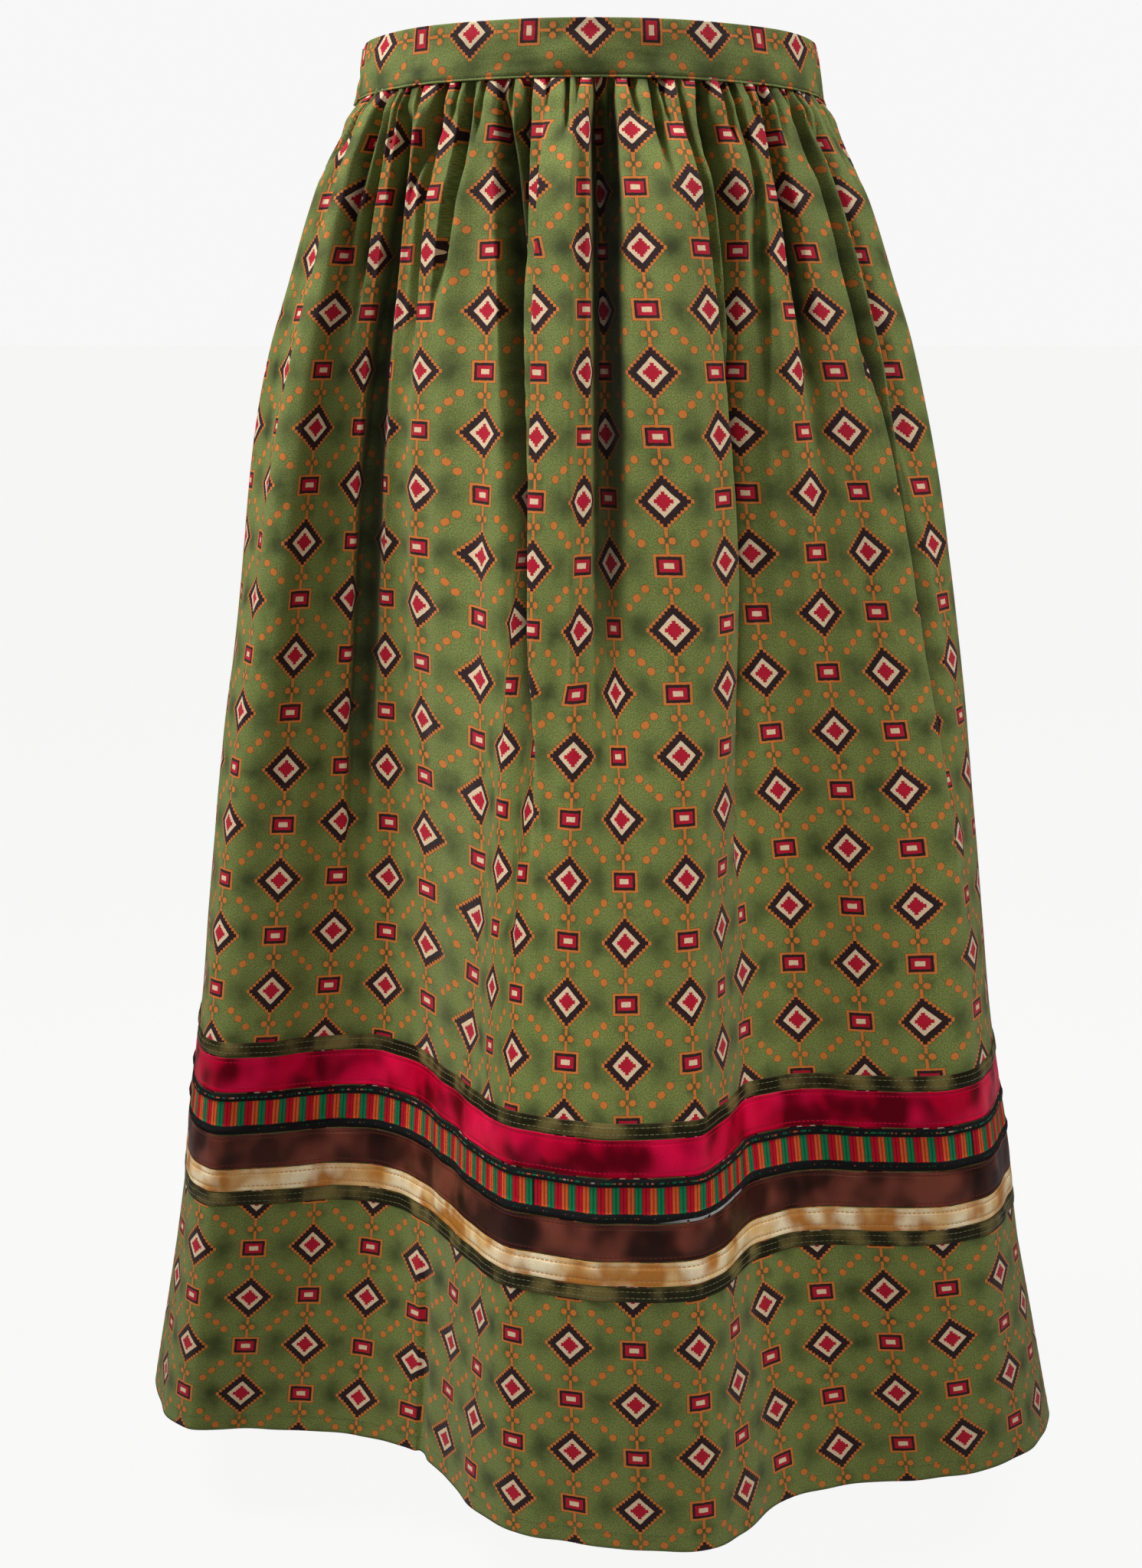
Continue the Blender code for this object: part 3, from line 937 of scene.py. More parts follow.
print("a mid green is", [round(x, 3) for x in srgb(96, 118, 58)], "in linear values")

# %% [markdown]
# ## The print
#
# The print is a plain geometric repeat.  Chains run down the cloth, 42 mm apart: a stepped
# diamond, a pair of dots, a small rectangle, a pair of dots, and so on, with a repeat of
# 74.9 mm.  Every second chain sits half a repeat lower.  Rows of dots lie between chains.
# Folding the coordinates of one chain about its middle leaves a quarter of a motif, which
# is all that has to be drawn.  A stepped edge is the test floor(x / s) + floor(y / s) < n.

# %% Shapes of the print
CHAIN_SPACING = 42.0
REPEAT = 74.9
FIRST_CHAIN = 147.0
FIRST_DIAMOND = 28.4
STEP = 1.95


@node_group(("X", "Y", "Count", "Grow"), ("Inside",))
def stepped_diamond(x, y, count, grow):
    """1 inside a diamond with Count steps along its edge, each STEP wide."""
    steps = [calc("FLOOR", calc("MAXIMUM", (side - grow) / STEP + 0.35, 0.0)) for side in (x, y)]
    return steps[0] + steps[1] < count - 0.5


@node_group(("X", "Y", "Middle", "Half X", "Half Y"), ("Inside",))
def rectangle(x, y, middle, half_x, half_y):
    """1 inside a rectangle about a middle height, given by its half sides."""
    return (x < half_x) * (abs(y - middle) < half_y)


@node_group(("Place", "Centre", "Radius"), ("Distance",))
def dot(place, centre, radius):
    """The distance to the edge of a round dot, below 0 inside it."""
    node = new_node(tree_of(place), "ShaderNodeVectorMath", place, centre)
    node.operation = "DISTANCE"
    return Wire(node.outputs["Value"]) - radius


@node_group(("Across", "Up"), ("X", "Y"))
def chain(across, up):
    """Folds millimetres on the cloth into one quarter of a chain: X is the distance from
    the nearest chain and Y that from the middle of the nearest diamond on it."""
    from_first = across - FIRST_CHAIN
    number = calc("ROUND", from_first / CHAIN_SPACING)
    beside = from_first - number * CHAIN_SPACING
    lowered = calc("SUBTRACT", 1.0, number % 2.0) * (REPEAT / 2)
    above = up - FIRST_DIAMOND + lowered
    off = above - calc("ROUND", above / REPEAT) * REPEAT
    return abs(beside), abs(off)


print("chains", CHAIN_SPACING, "mm apart, repeat", REPEAT, "mm")

# %% [markdown]
# The colours go on in the order of a printer's screens: the clouded green ground, a thin
# dark line round each shape, orange, near-black, cream and red.  A little noise added to
# the coordinates makes the edges as unsteady as printed ones.

# %% Parts of the print, in millimetres from the middle of a diamond
DOTS = (
    # centre           radius
    ((3.2, 22.9, 0),   2.1),
    ((21.0, 19.0, 0),  2.45),
    ((15.4, 24.2, 0),  2.4),
)
CLOUDS = (
    # centre           reach
    ((21.0, 1.0, 0),   17.0),
    ((21.0, 36.6, 0),  17.0),
    ((0.0, 23.0, 0),   11.0),
)
CROSS_ARMS = ((5.7, 1.2), (3.9, 2.6), (2.6, 3.9), (1.2, 5.7))
CREAM_REACH = 9.5
SHAKE = 0.7


def orange_shapes(x, y, grow):
    """The outer shapes: diamond, rectangle, the lines of the chain and the dots."""
    place = join(x, y)
    masks = [dot(place, centre, radius + grow) < 0.0 for centre, radius in DOTS]
    return any_of(stepped_diamond(x, y, 9.0, grow),
                  rectangle(x, y, REPEAT / 2, 9.1 + grow, 6.8 + grow),
                  rectangle(x, y, 19.0, 0.95 + grow, 1.9),
                  rectangle(x, y, 28.0, 0.95 + grow, 3.6), *masks)


def clouds(x, y, place):
    """Dark airbrushed clouds beside the diamonds and beyond their tips, 0 to 1."""
    spot = join(x, y)
    ragged = (noise(place, 0.09, 3.0) - 0.5) * 20.0
    dark = any_of(*[ramp(dot(spot, centre, 0.0) + ragged, -4.0, reach, 1.0, 0.0)
                    for centre, reach in CLOUDS])
    return dark * ramp(noise(place, 0.02, 1.0), 0.35, 0.65, 0.65, 1.0)


print("a quarter of a motif has", len(DOTS), "dots,", len(CLOUDS), "clouds and",
      len(CROSS_ARMS), "arms of its cross")


# %% The print
@node_group(("Place",), ("Color",))
def chain_print(place):
    """The whole print from a place on the cloth in millimetres."""
    across, up = split(place)
    x, y = chain(across + (noise(place, 0.42) - 0.5) * SHAKE,
                 up + (noise(place, 0.37, 2.0, (1, 1.3, 1)) - 0.5) * SHAKE)
    cross = [rectangle(x, y, 0.0, half_x, half_y) for half_x, half_y in CROSS_ARMS]
    cream = srgb(228, 200, 164)
    screens = (
        (ramp(noise(place, 1.1), 0.35, 0.65, 0.0, 0.55), srgb(58, 66, 30)),
        (orange_shapes(x, y, 0.35) * 0.75, srgb(88, 70, 28)),
        (orange_shapes(x, y, 0.0), srgb(206, 118, 48)),
        (any_of(stepped_diamond(x, y, 8.0, 0.0), rectangle(x, y, REPEAT / 2, 7.5, 5.4)),
         srgb(40, 18, 20)),
        (x + y < CREAM_REACH, cream),
        (any_of(rectangle(x, y, REPEAT / 2, 5.8, 3.6), *cross), srgb(182, 6, 40)),
        (rectangle(x, y, REPEAT / 2, 3.1, 1.6), cream),
    )
    colour = blend(clouds(x, y, place), srgb(130, 142, 72), srgb(56, 66, 26))
    for mask, ink in screens:
        colour = blend(mask, colour, ink)
    return shade(colour, ramp(noise(place, 1.6, 1.0), 0.30, 0.70, 0.86, 1.10))


print("the print is made of", len(bpy.data.node_groups["chain_print"].nodes), "nodes")

# %% [markdown]
# ## Weave
#
# Plain weave is two sets of threads that pass over and under each other.  Its height is
# sin(x) sin(y) on a grid as fine as the threads.  The same group serves the cotton, the
# ribbed ribbon and, with long cells, the satin.


# %% Weave group and new materials
@node_group(("Place", "Pitch X", "Pitch Y"), ("Height",))
def weave(place, pitch_x, pitch_y):
    """Threads at a pitch of their own each way, broken up by noise."""
    threads = [calc("SINE", side * (2 * np.pi) / pitch)
               for side, pitch in zip(split(place), (pitch_x, pitch_y))]
    return threads[0] * threads[1] * 0.5 + noise(place, 0.9)


def new_material(name, **values):
    """A material and its shader; each value is set on the shader's own socket."""
    material = bpy.data.materials.new(name)
    material.use_nodes = True
    shader = material.node_tree.nodes["Principled BSDF"]
    shader.location = (2800, 0)
    material.node_tree.nodes["Material Output"].location = (3100, 0)
    for socket, value in values.items():
        join_to(value, shader.inputs[socket.replace("_", " ")])
    return material, shader


def cloth_place(shader):
    """The piece's own cloth coordinates, in millimetres."""
    uv = new_node(shader.id_data, "ShaderNodeUVMap")
    uv.uv_map = "cloth"
    mapping = new_node(shader.id_data, "ShaderNodeMapping", Wire(uv.outputs[0]))
    mapping.inputs["Scale"].default_value = (1000.0, 1000.0, 1000.0)
    return Wire(mapping.outputs[0])


def dress(shader, colour, roughness, normal):
    """Joins the three results of a material to its shader."""
    for value, name in ((colour, "Base Color"), (roughness, "Roughness"), (normal, "Normal")):
        join_to(value, shader.inputs[name])


print("node groups:", [group.name for group in bpy.data.node_groups])

# %% [markdown]
# ## Printed cotton
#
# The right side carries the print; the wrong side is the same print shining through, pale
# and greyed.  The cotton is nearly matt, with a little sheen from its short fibres.  A fine
# weave and soft small wrinkles are bump; the folds themselves are in the mesh.  Each point
# of a panel also carries a number called hollow, 0 on the flats and 1 where the cloth lies
# 16 mm in or more.  It darkens the print there a little more than the lamps alone would.


# %% Cotton materials
COTTON_PITCH = 0.8
HOLLOW_SHADE = 0.34


def make_cotton(name, fade):
    """Printed cotton; fade mixes the print with a pale green for the wrong side."""
    material, shader = new_material(name, Sheen_Weight=0.06, Sheen_Roughness=0.5,
                                    Specular_IOR_Level=0.24)
    place = cloth_place(shader)
    colour = blend(fade, chain_print(place), srgb(150, 156, 112))
    if fade == 0.0:
        deep = new_node(shader.id_data, "ShaderNodeAttribute")
        deep.attribute_name = "hollow"
        colour = shade(colour, ramp(Wire(deep.outputs["Fac"]), 0.0, 1.0, 1.0, HOLLOW_SHADE))
    roughness = ramp(noise(place, 0.3), 0.2, 0.8, 0.66, 0.84)
    wrinkles = bump(noise(place, 0.035, 3.0, (1.6, 0.7, 1)), 0.0035, 0.55)
    threads = weave(place, COTTON_PITCH, COTTON_PITCH)
    dress(shader, colour, roughness, bump(threads, 0.00022, 0.5, wrinkles))
    return material


cotton = make_cotton("printed_cotton_face", 0.0)
cotton_back = make_cotton("printed_cotton_wrong_side", 0.62)
print("cotton is ready, face and wrong side")


# %% Lay out the two panels
PANEL_WALL = 0.0011
FULL_HOLLOW = 0.016


def make_panel(name, u, points, across):
    """A panel: the cloth's grid, with its thickness and both sides' materials.  Hollow is
    a smooth step of how far the cloth lies in."""
    up = np.broadcast_to(UP_CLOTH[:, None], across.shape)
    panel = grid_piece(name, points, np.stack([across, up], axis=-1))
    hollow = smooth(0.001, FULL_HOLLOW, -relief(u[None, :], ROW_DROPS[:, None]))
    hollow = hollow * smooth(0.036, 0.046, ROW_DROPS)[:, None]
    layer = panel.data.attributes.new("hollow", "FLOAT", "POINT")
    layer.data.foreach_set("value", hollow.reshape(-1))
    give_wall(panel, PANEL_WALL, 1)
    panel.data.materials.append(cotton)
    panel.data.materials.append(cotton_back)
    return panel


front_panel = make_panel("front_panel_cloth", front_u, front_points, front_across)
back_panel = make_panel("back_panel_cloth", back_u, back_points, back_across)
print("panels have", len(front_panel.data.polygons), "and", len(back_panel.data.polygons), "cells")

# %% [markdown]
# ## The waistband
#
# The front half of the band is flat: two layers of the same cotton, edge-stitched just
# above its lower edge.  The back half holds elastic, which draws it into small upright
# folds, with a narrow frill under it.  On both the print is turned on its side.

# %% Band shape
BAND_WALL = 0.0024
BAND_PRINT = (0.2805, 0.0436)


def band_points(angle, share, out):
    """The band's outer face: an oval that widens by the flare from top to bottom, moved
    out by out; share is 0 at the top edge and 1 at the lower edge."""
    flare = BAND_FLARE * share + out
    x = -(WAIST_HALF_WIDTH + flare) * np.cos(angle)
    y = -(WAIST_HALF_DEPTH + flare) * np.sin(angle)
    return np.stack([x, y, -BAND_HEIGHT * share - WAIST_TILT * y], axis=-1)


def make_band(name, angle, share, relief_of):
    """A band half; relief_of(angle, share) says how far it stands out.  In its UV map the
    way along the band runs up the print."""
    angle, height = angle[None, :], share[:, None]
    points = band_points(angle, height, relief_of(angle, height))
    along = np.cumsum(np.concatenate([[0], arc_lengths(points)[3]]))
    along, down = np.meshgrid(along, BAND_HEIGHT * share)
    uv = np.stack([BAND_PRINT[0] - down, BAND_PRINT[1] + along], axis=-1)
    piece = grid_piece(name, points, uv)
    give_wall(piece, BAND_WALL)
    piece.data.materials.append(cotton)
    return piece


print("the band is", round(2000 * (WAIST_HALF_WIDTH + BAND_FLARE)), "mm wide at its lower edge")


# %% Bands
def front_band_relief(angle, share):
    """The face swells a little between its edges, dips at the stitches, and ripples along
    its lower edge where the gathers push."""
    swell = 0.0007 * np.sin(np.pi * share) ** 0.7
    dip = -0.0006 * np.exp(-((share - 0.955) / 0.018) ** 2)
    ripple = 0.0004 * np.sin(38 * angle + 1.3 * np.sin(7 * angle)) * share ** 3
    ripple = ripple + 0.0007 * np.sin(9 * angle + 0.8) * np.sin(2.3 * np.pi * share + 2 * angle)
    return swell + dip + ripple


def back_band_relief(angle, share):
    """Upright folds of uneven width and depth, drawn in along the line of the elastic."""
    turn = angle + 0.022 * np.sin(17 * angle) + 0.012 * np.sin(41 * angle)
    fold = 0.5 + 0.5 * np.sin(76 * turn + 0.7 * np.sin(5 * share + 9 * angle))
    depth = 0.0019 + 0.0007 * np.sin(13 * angle + 2)
    drawn = 1 - 0.35 * np.exp(-((share - 0.5) / 0.10) ** 2)
    frill = 0.0012 * smooth(0.86, 1.0, share) * np.sin(120 * turn)
    return depth * fold * drawn + frill


SEAM_GAP = 0.0011
front_angle = np.linspace(SEAM_GAP, np.pi - SEAM_GAP, 221)
back_angle = np.linspace(np.pi + SEAM_GAP, 2 * np.pi - SEAM_GAP, 561)
front_share = np.array([0, 0.02, 0.06, 0.15, 0.28, 0.42, 0.56, 0.70, 0.82, 0.90, 0.94, 0.955,
                        0.97, 0.985, 1.0])
front_band = make_band("waistband_front_cloth", front_angle, front_share, front_band_relief)
back_band = make_band("waistband_back_cloth", back_angle, np.linspace(0, 1, 17),
                      back_band_relief)
print("bands have", len(front_band.data.polygons), "and", len(back_band.data.polygons), "cells")

# %% [markdown]
# ## Ribbons
#
# A ribbon lies on the cloth, so its points are the cloth's points moved out along the
# cloth's own normals: 0.6 mm, and up to 0.8 mm more where it puckers between its rows of
# stitching.  Its UV map gives the length round the skirt and the way down its width.


# %% Ribbon builder
RIBBON_WALL = 0.0004
TRIM_WALL = 0.0005


def ribbon_surface(name, down, lift):
    """Points of a ribbon.  down is a row of shares of its width, from its upper edge, and
    lift(along, down) says how far it stands off the cloth."""
    upper, lower = RIBBON_EDGES[name]
    base = cloth(ROUND_U[None, :-1], (upper + (lower - upper) * down)[:, None])
    normal = surface_normals(base, True)
    ring = np.concatenate([base, base[:, :1]], axis=1)
    along = np.concatenate([[0], np.cumsum(arc_lengths(ring)[len(down) // 2])])
    raised = base + normal * lift(along[None, :-1], down[:, None])[..., None]
    width = (lower - upper) / DROP_OF_CLOTH
    return raised, np.stack(np.meshgrid(along, width * down), axis=-1), normal


def pucker(along, down):
    """0.6 mm off the cloth, plus small uneven swells between the two rows of stitching."""
    swell = np.sin(along * 210 + 2.2 * np.sin(along * 47)) * np.sin(along * 83 + 1)
    between = np.sin(np.pi * np.clip((down - 0.1) / 0.8, 0, 1))
    return 0.0006 + 0.0004 * (1 + swell) * between * np.ones_like(down)


def make_ribbon(name, down, lift, material, thickness=RIBBON_WALL):
    """A closed loop of ribbon with its thickness."""
    points, uv, _ = ribbon_surface(name, down, lift)
    piece = grid_piece(name + "_cloth", points, uv, closed=True)
    give_wall(piece, thickness)
    piece.data.materials.append(material)
    return piece


print("ribbons lie from", round(HEM_DROP - RIBBON_EDGES["olive_ribbon_lower"][1], 3), "to",
      round(HEM_DROP - RIBBON_EDGES["olive_ribbon_upper"][0], 3), "m above the hem")

# %% [markdown]
# Satin shines in broad blotches, because it bends a little everywhere.  The group below gives
# those blotches as a mask, which paints highlights into the colour and smooths the surface,
# and as a height, which bends the light.  It also draws two rows of stitching in the
# ribbon's own colour, close to the edges.


# %% Satin
@node_group(("Place", "Width", "Inset", "Blotch"), ("Lit", "Height", "Stitch", "Edge"))
def satin(place, width, inset, blotch):
    """Blotches for painted highlights, a pucker height and stitch marks from a place on the
    ribbon, in mm.
    """
    along, down = split(place)
    scale = calc("DIVIDE", 1.0, blotch)
    broad = noise(join(along * scale, down * (scale * 0.8)), 1.0)
    fine = noise(place, 0.22, 2.0, (1, 0.35, 1))
    from_edge = calc("MINIMUM", down, width - down)
    row = abs(from_edge - inset)
    height = broad * 2.2 + fine * 0.28 + ramp(row, 0.2, 1.7) * 0.22
    stitch = ramp(row, 0.25, 0.55, 1.0, 0.0) * ramp(wave(along, 3.1), -0.75, -0.35)
    edge = ramp(from_edge, 0.35, 0.7, 1.0, 0.0) * ramp(wave(along, 0.9), -0.3, 0.3)
    return ramp(broad, 0.42, 0.66), height, stitch, edge


def make_satin_ribbon(name, width, inset, blotch, roughness, dark, base, light, thread):
    """A satin ribbon from its colours of painted shade, plain cloth and painted highlight, and
    that of its thread.  Its shine has the colour of the fibre, as light passes through it first."""
    tint = tuple(float(x) for x in (np.array(light) / max(light)) ** 0.5)
    material, shader = new_material(name, Anisotropic=0.4, Specular_IOR_Level=0.5,
                                    Specular_Tint=tint)
    place = cloth_place(shader)
    lit, height, stitch, edge = satin(place, width, inset, blotch)
    # Painted shade: dark blotches over the plain colour; then painted highlights where the blotch
    # mask is lit.
    colour = blend(ramp(noise(place, 0.03, 2.0, (1, 0.8, 1)), 0.40, 0.58), dark, base)
    colour = blend(lit, colour, light)
    colour = shade(colour, ramp(noise(place, 1.2, 1.0), 0.3, 0.7, 0.88, 1.08))
    for mask in (edge, stitch):
        colour = blend(mask, colour, thread)
    bends = bump(height, 0.0016, 0.7)
    dress(shader, colour, ramp(lit, 0.0, 1.0, roughness + 0.10, roughness),
          bump(weave(place, 2.4, 0.45), 0.00010, 0.4, bends))
    return material


print("the satin group is made of", len(bpy.data.node_groups["satin"].nodes), "nodes")


# %% Satin ribbons
# Each satin ribbon: width, stitch inset, blotch size, roughness, then its painted shade, plain,
# painted highlight and thread colours.
crimson = make_satin_ribbon("crimson_satin", 25.0, 2.9, 46.0, 0.32, srgb(96, 0, 12),
                            srgb(188, 0, 42), srgb(238, 16, 72), srgb(206, 10, 52))
brown = make_satin_ribbon("brown_satin", 25.0, 2.6, 40.0, 0.30, srgb(18, 5, 4),
                          srgb(48, 16, 12), srgb(124, 62, 48), srgb(92, 36, 26))
gold = make_satin_ribbon("gold_satin", 16.0, 3.4, 24.0, 0.32, srgb(188, 118, 44),
                         srgb(232, 188, 124), srgb(255, 236, 196), srgb(206, 142, 70))

SATIN_ROWS = np.array([0, 0.03, 0.12, 0.3, 0.5, 0.7, 0.88, 0.97, 1.0])
satin_pieces = [make_ribbon(name, SATIN_ROWS, pucker, material) for name, material in
                (("crimson_ribbon", crimson), ("brown_ribbon", brown), ("gold_ribbon", gold))]
print("satin ribbons:", [piece.name for piece in satin_pieces])

# %% [markdown]
# The two olive ribbons are narrow and ribbed across.  They are nearly black, with painted
# highlights in golden olive in patches, where the light would catch them.


# %% Olive ribbons
def make_olive():
    """Ribbed ribbon: close cross ribs, a dark ground and patches of painted highlight.
    The inset lies off the ribbon, which leaves the drawn stitches out."""
    material, shader = new_material("olive_ribbed", Anisotropic=0.4, Specular_IOR_Level=0.4,
                                    Specular_Tint=(1.0, 0.9, 0.5))
    place = cloth_place(shader)
    lit, height, _, edge = satin(place, 10.0, -4.0, 26.0)
    # Painted highlight: golden olive patches on the dark ground where the blotch mask is lit.
    colour = blend(lit, srgb(20, 17, 6), srgb(118, 104, 58))
    colour = shade(colour, ramp(noise(place, 1.3, 1.0), 0.3, 0.7, 0.7, 1.25))
    colour = blend(edge, colour, srgb(22, 18, 6))
    bends = bump(height, 0.0012, 0.6)
    dress(shader, colour, ramp(lit, 0.0, 1.0, 0.5, 0.38),
          bump(weave(place, 0.7, 40.0), 0.00025, 0.6, bends))
    return material


olive = make_olive()
NARROW_ROWS = np.array([0, 0.06, 0.3, 0.5, 0.7, 0.94, 1.0])
OLIVE_NAMES = ("olive_ribbon_upper", "olive_ribbon_lower")
olive_pieces = [make_ribbon(name, NARROW_ROWS, pucker, olive) for name in OLIVE_NAMES]
print("olive ribbons:", [piece.name for piece in olive_pieces])

# %% [markdown]
# ## Woven trim
#
# The trim has two black corded edges, which stand a millimetre proud, and a field of red,
# orange and green stripes between them, each a braid of two columns of slanted stitches.
# After every twelve groups of stripes comes one black line.  A pale backing peeps out under
# its lower edge near the middle of the front.

# %% Trim shape, in millimetres down from its upper edge
TRIM_WIDTH = 30.0
TOP_CORD = 5.7
FIELD_END = 23.7
LOWER_CORD_END = 29.2
CORD_CREEP = 1.6
# where the pale backing begins to show, shows in full, fades and is hidden again, going round
BACKING = (512.0, 545.0, 596.0, 606.0)


def half_round(mm, start, end):
    """A half round between two places: the root of 1 - x squared, x from -1 to 1."""
    return np.clip(1 - ((mm - (start + end) / 2) / ((end - start) / 2)) ** 2, 0, 1) ** 0.5


def trim_lift(along, down):
    """Off the cloth: 0.7 mm over the field, and half a round of 1.1 mm on each cord.  The
    lower cord creeps up along the stretch of the front where the backing shows."""
    begin, full, fade, stop = np.array(BACKING) / 1000
    shows = smooth(begin, full, along) * (1 - smooth(fade, stop, along))
    mm = down * TRIM_WIDTH
    cords = (half_round(mm, 0.0, TOP_CORD)
             + half_round(mm, FIELD_END, LOWER_CORD_END - CORD_CREEP * shows))
    knots = 0.00012 * np.sin(along * 2 * np.pi / 0.0021)
    return 0.0007 + (0.0011 + knots) * cords + 0.00015 * np.sin(along * 160)


TRIM_ROWS = np.array([0, 0.3, 1.0, 1.9, 2.85, 3.8, 4.7, 5.4, 5.7, 8.0, 11.0, 14.7, 18.0, 21.0,
                      23.7, 24.0, 24.7, 25.6, 26.4, 27.3, 28.2, 28.9, 29.2, 30.0]) / TRIM_WIDTH
print("the trim has", len(TRIM_ROWS), "rows across its width")


# %% Flecks on the cords
def flecks(place, down):
    """Short broken dashes along the middle of each cord."""
    marks = []
    for middle, near, far, scale, low, high in ((2.6, 0.3, 0.7, 0.5, 0.47, 0.55),
                                                (26.2, 0.2, 0.5, 0.8, 0.60, 0.68)):
        broken = ramp(noise(place, scale, 1.0, (1, 0.3, 1)), low, high)
        marks.append(ramp(abs(down - middle), near, far, 1.0, 0.0) * broken)
    return any_of(*marks)


def fleck_colour(place):
    """Green in the main, with orange and grey-white here and there."""
    pick = noise(place, 0.12, 1.0, (1, 0.1, 1))
    colour = blend(ramp(pick, 0.50, 0.53), srgb(10, 130, 84), srgb(226, 100, 50))
    return blend(ramp(pick, 0.60, 0.63), colour, srgb(176, 172, 166))


print("a fleck's green is", [round(x, 3) for x in srgb(10, 130, 84)], "in linear values")

# %% Trim material
STRIPE = 4.6
GROUP = 36 * STRIPE
BLACK_LINE = 1.1


def make_trim():
    """Stripes by the way along, cords by the way down, braided stitches as bump and as painted
    shade in their grooves, with painted highlight on their crowns.
    """
    material, shader = new_material("striped_trim", Specular_IOR_Level=0.2)
    place = cloth_place(shader)
    along, down = split(place)
    ragged = (noise(place, 0.9) - 0.5) * 0.9
    inside = (along + ragged + 60.0) % (GROUP + BLACK_LINE)
    which = calc("FLOOR", inside / STRIPE) % 3.0
    colour = blend(which > 0.5, srgb(226, 6, 44), srgb(255, 104, 48))
    colour = blend(which > 1.5, colour, srgb(10, 146, 88))
    colour = blend(inside > GROUP, colour, srgb(16, 16, 18))
    fold = abs(inside % (STRIPE / 2) - STRIPE / 4)
    crown = ramp(fold, 0.0, STRIPE / 4, 1.0, 0.0)
    braid = (wave(down + fold * 1.1, 1.35) * 0.5 + 0.5) * crown
    # Painted shade between the braided stitches, and a slight painted highlight on their crowns.
    colour = shade(colour, ramp(braid, 0.05, 0.45, 0.34, 1.1))
    cord = any_of(down + ragged < TOP_CORD, down + ragged > FIELD_END)
    colour = blend(cord, colour, srgb(20, 20, 22))
    colour = blend(flecks(place, down), colour, fleck_colour(place))
    shows = ramp(along, *BACKING[:2]) * ramp(along, *BACKING[2:], 1.0, 0.0)
    cord_end = calc("SUBTRACT", LOWER_CORD_END + 0.1, shows * CORD_CREEP)
    pale = shows * ramp(noise(place, 0.25, 1.0), 0.34, 0.42)
    backing = blend(pale, srgb(30, 20, 16), srgb(206, 204, 206))
    colour = blend(down + ragged * 0.5 > cord_end, colour, backing)
    twist = wave(along + down, 1.5)
    threads = blend(cord, join(braid, braid, braid), join(twist, twist, twist))
    dress(shader, colour, 0.85, bump(threads + noise(place, 1.8) * 0.6, 0.0005, 0.8))
    return material


trim_piece = make_ribbon("woven_trim", TRIM_ROWS, trim_lift, make_trim(), TRIM_WALL)
print("trim has", len(trim_piece.data.polygons), "cells")

# %% [markdown]
# ## Stitching
#
# A stitch is a short rounded bar.  Each row of stitching is one mesh: a bar of five rings
# of six points, copied along a line on the cloth by array arithmetic.


# %% Thread, and lines of values
def make_thread(name, colour):
    """Twisted thread: its colour with a fine darker twist from object coordinates."""
    material, shader = new_material(name, Sheen_Weight=0.3, Roughness=0.6)
    spot = Wire(new_node(shader.id_data, "ShaderNodeTexCoord").outputs["Object"])
    twist = ramp(noise(spot, 2400.0, 1.0), 0.3, 0.7, 0.7, 1.1)
    join_to(shade(colour, twist), shader.inputs["Base Color"])
    return material


def read_off(where, reach, values):
    """Three columns of values, each read off at places along a line."""
    return np.stack([np.interp(where, reach, column) for column in values.T], axis=-1)


def unit(vectors):
    """Vectors made one long."""
    return vectors / np.linalg.norm(vectors, axis=1, keepdims=True)


print("a vector made one long:", unit(np.array([[3.0, 4.0, 0.0]])))

# %% Stitch builder
STITCH_RINGS = (
    # place along the stitch, size
    (-0.50, 0.25),
    (-0.38, 0.85),
    (0.00, 1.00),
    (0.38, 0.85),
    (0.50, 0.25),
)
SPOKES = 6


def stitch_bars(points, normals, length, gap, radius):
    """Stitches along one line of points with their outward normals: six-sided bars with
    pinched ends, as an array of stitches x rings x spokes x 3."""
    reach = np.concatenate([[0], np.cumsum(np.linalg.norm(np.diff(points, axis=0), axis=1))])
    middles = np.arange(length / 2, reach[-1] - length / 2, length + gap)
    places = [read_off(middles + shift * length, reach, points) for shift, _ in STITCH_RINGS]
    out = unit(read_off(middles, reach, normals))
    side = np.cross(out, unit(places[-1] - places[0]))
    turn = np.arange(SPOKES)[None, :, None] * 2 * np.pi / SPOKES
    spokes = np.cos(turn) * side[:, None, :] + 0.7 * np.sin(turn) * out[:, None, :]
    return np.stack([place[:, None, :] + spokes * radius * size
                     for place, (_, size) in zip(places, STITCH_RINGS)], axis=1)


def stitch_rows(name, lines, length, gap, radius, colour):
    """One mesh of stitches; each line is a pair, its points and their normals."""
    bars = np.concatenate([stitch_bars(*line, length, gap, radius) for line in lines])
    ids = np.arange(len(STITCH_RINGS) * SPOKES).reshape(-1, SPOKES)
    turned = np.roll(ids, -1, axis=1)
    sides = np.stack([ids[:-1], turned[:-1], turned[1:], ids[1:]], axis=-1).reshape(-1, 4)
    faces = []
    for shape in (sides, ids[:1, ::-1], ids[-1:]):
        numbers = shape[None] + ids.size * np.arange(len(bars))[:, None, None]
        faces += numbers.reshape(-1, shape.shape[1]).tolist()
    mesh = bpy.data.meshes.new(name)
    mesh.from_pydata(bars.reshape(-1, 3).tolist(), [], faces)
    mesh.shade_smooth()
    mesh.materials.append(make_thread(name + "_thread", colour))
    piece = bpy.data.objects.new(name, mesh)
    bpy.context.scene.collection.objects.link(piece)
    return piece


print("a stitch is", len(STITCH_RINGS), "rings of", SPOKES, "points")

# %% Lines for the stitches
BESIDE = np.array([-1, 0, 1])[:, None]
HEM_STITCH_DROP = 0.9212
BAND_STITCH_SHARE = 0.945
OLIVE_STITCH_SHARES = (0.28, 0.70)


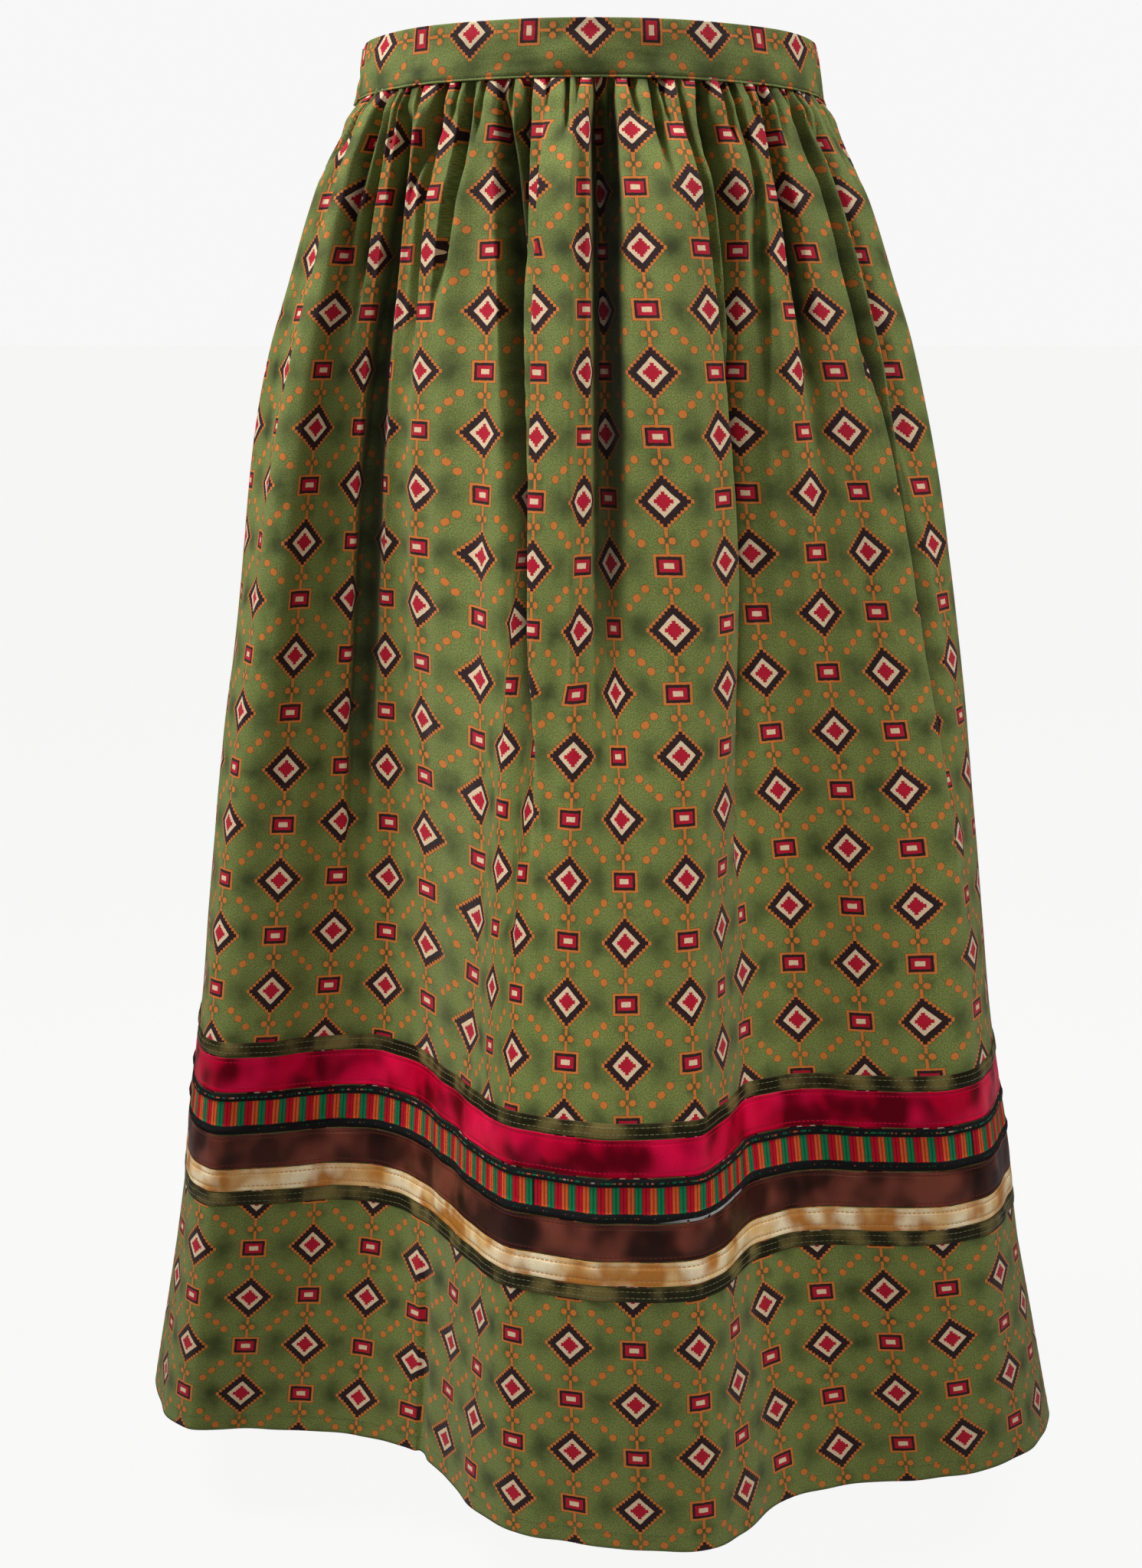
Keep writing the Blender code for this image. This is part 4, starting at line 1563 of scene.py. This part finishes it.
def ribbon_line(name, share):
    """A line round the skirt at a share of a ribbon's width, just above its face."""
    points, _, normal = ribbon_surface(name, share + 0.02 * BESIDE[:, 0],
                                       lambda along, down: pucker(along, down) + 0.00015)
    return points[1], normal[1]


def lifted_line(grid, off):
    """The middle row of three, moved out by off, and its normals."""
    normal = surface_normals(grid, False)[1]
    return grid[1] + normal * off, normal


olive_lines = [ribbon_line(name, share) for name in OLIVE_NAMES for share in OLIVE_STITCH_SHARES]
hem_line = lifted_line(cloth(ROUND_U[None, :], HEM_STITCH_DROP + 0.002 * BESIDE), 0.0001)
band_shares = BAND_STITCH_SHARE + 0.02 * BESIDE
band_grid = band_points(front_angle, band_shares, front_band_relief(front_angle, band_shares))
band_line = lifted_line(band_grid, 0.00005)
print("the line of the hem's stitches has", len(hem_line[0]), "points")

# %% Stitches
STITCHING = (
    # name, lines, length of a stitch, gap, radius, colour
    ("olive_stitches", olive_lines, 0.0026, 0.0008, 0.00022, srgb(112, 116, 66)),
    ("hem_stitches", [hem_line], 0.0026, 0.0009, 0.00020, srgb(64, 84, 34)),
    ("band_stitches", [band_line], 0.0019, 0.0008, 0.00020, srgb(36, 56, 18)),
)
stitch_pieces = [stitch_rows(*row) for row in STITCHING]
print("stitch meshes:", [len(piece.data.polygons) for piece in stitch_pieces])

# %% [markdown]
# ## Attaching the pieces
#
# Each piece rides on the one body of the skirt, and the plain node it stands for is hidden.
# The table also lists its slot, its size before it was sewn, how it is held and what it hangs
# from.

PANEL_LENGTH = 0.93
FRONT_BAND_CUT = 0.43
BACK_BAND_CUT = 0.56
sheets = [
    # piece, node it stands for, slot, flat size, how it is held, what it hangs from
    (front_panel, "panel_front", "printed_cotton", (PANEL_CUT, PANEL_LENGTH), "gathered",
     "waistband_front_cloth"),
    (back_panel, "panel_back", "printed_cotton", (PANEL_CUT, PANEL_LENGTH), "gathered",
     "waistband_back_cloth"),
    (front_band, "waistband_front", "printed_cotton", (FRONT_BAND_CUT, BAND_HEIGHT), "stretched",
     "front_panel_cloth"),
    (back_band, "waistband_back", "printed_cotton", (BACK_BAND_CUT, BAND_HEIGHT), "gathered",
     "back_panel_cloth"),
]
for name, width, slot in reversed(RIBBONS):
    sheets.append((bpy.data.objects[name + "_cloth"], name, slot, (ROUND_CUT, width),
                   "stretched", "front_panel_cloth"))
for piece, node, slot, _, _, _ in sheets:
    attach(piece, "root")
    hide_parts(node)
for piece, slot in zip(stitch_pieces, ("olive_ribbon", "printed_cotton", "printed_cotton")):
    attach(piece, "root")
print(len(sheets), "sheets are declared")
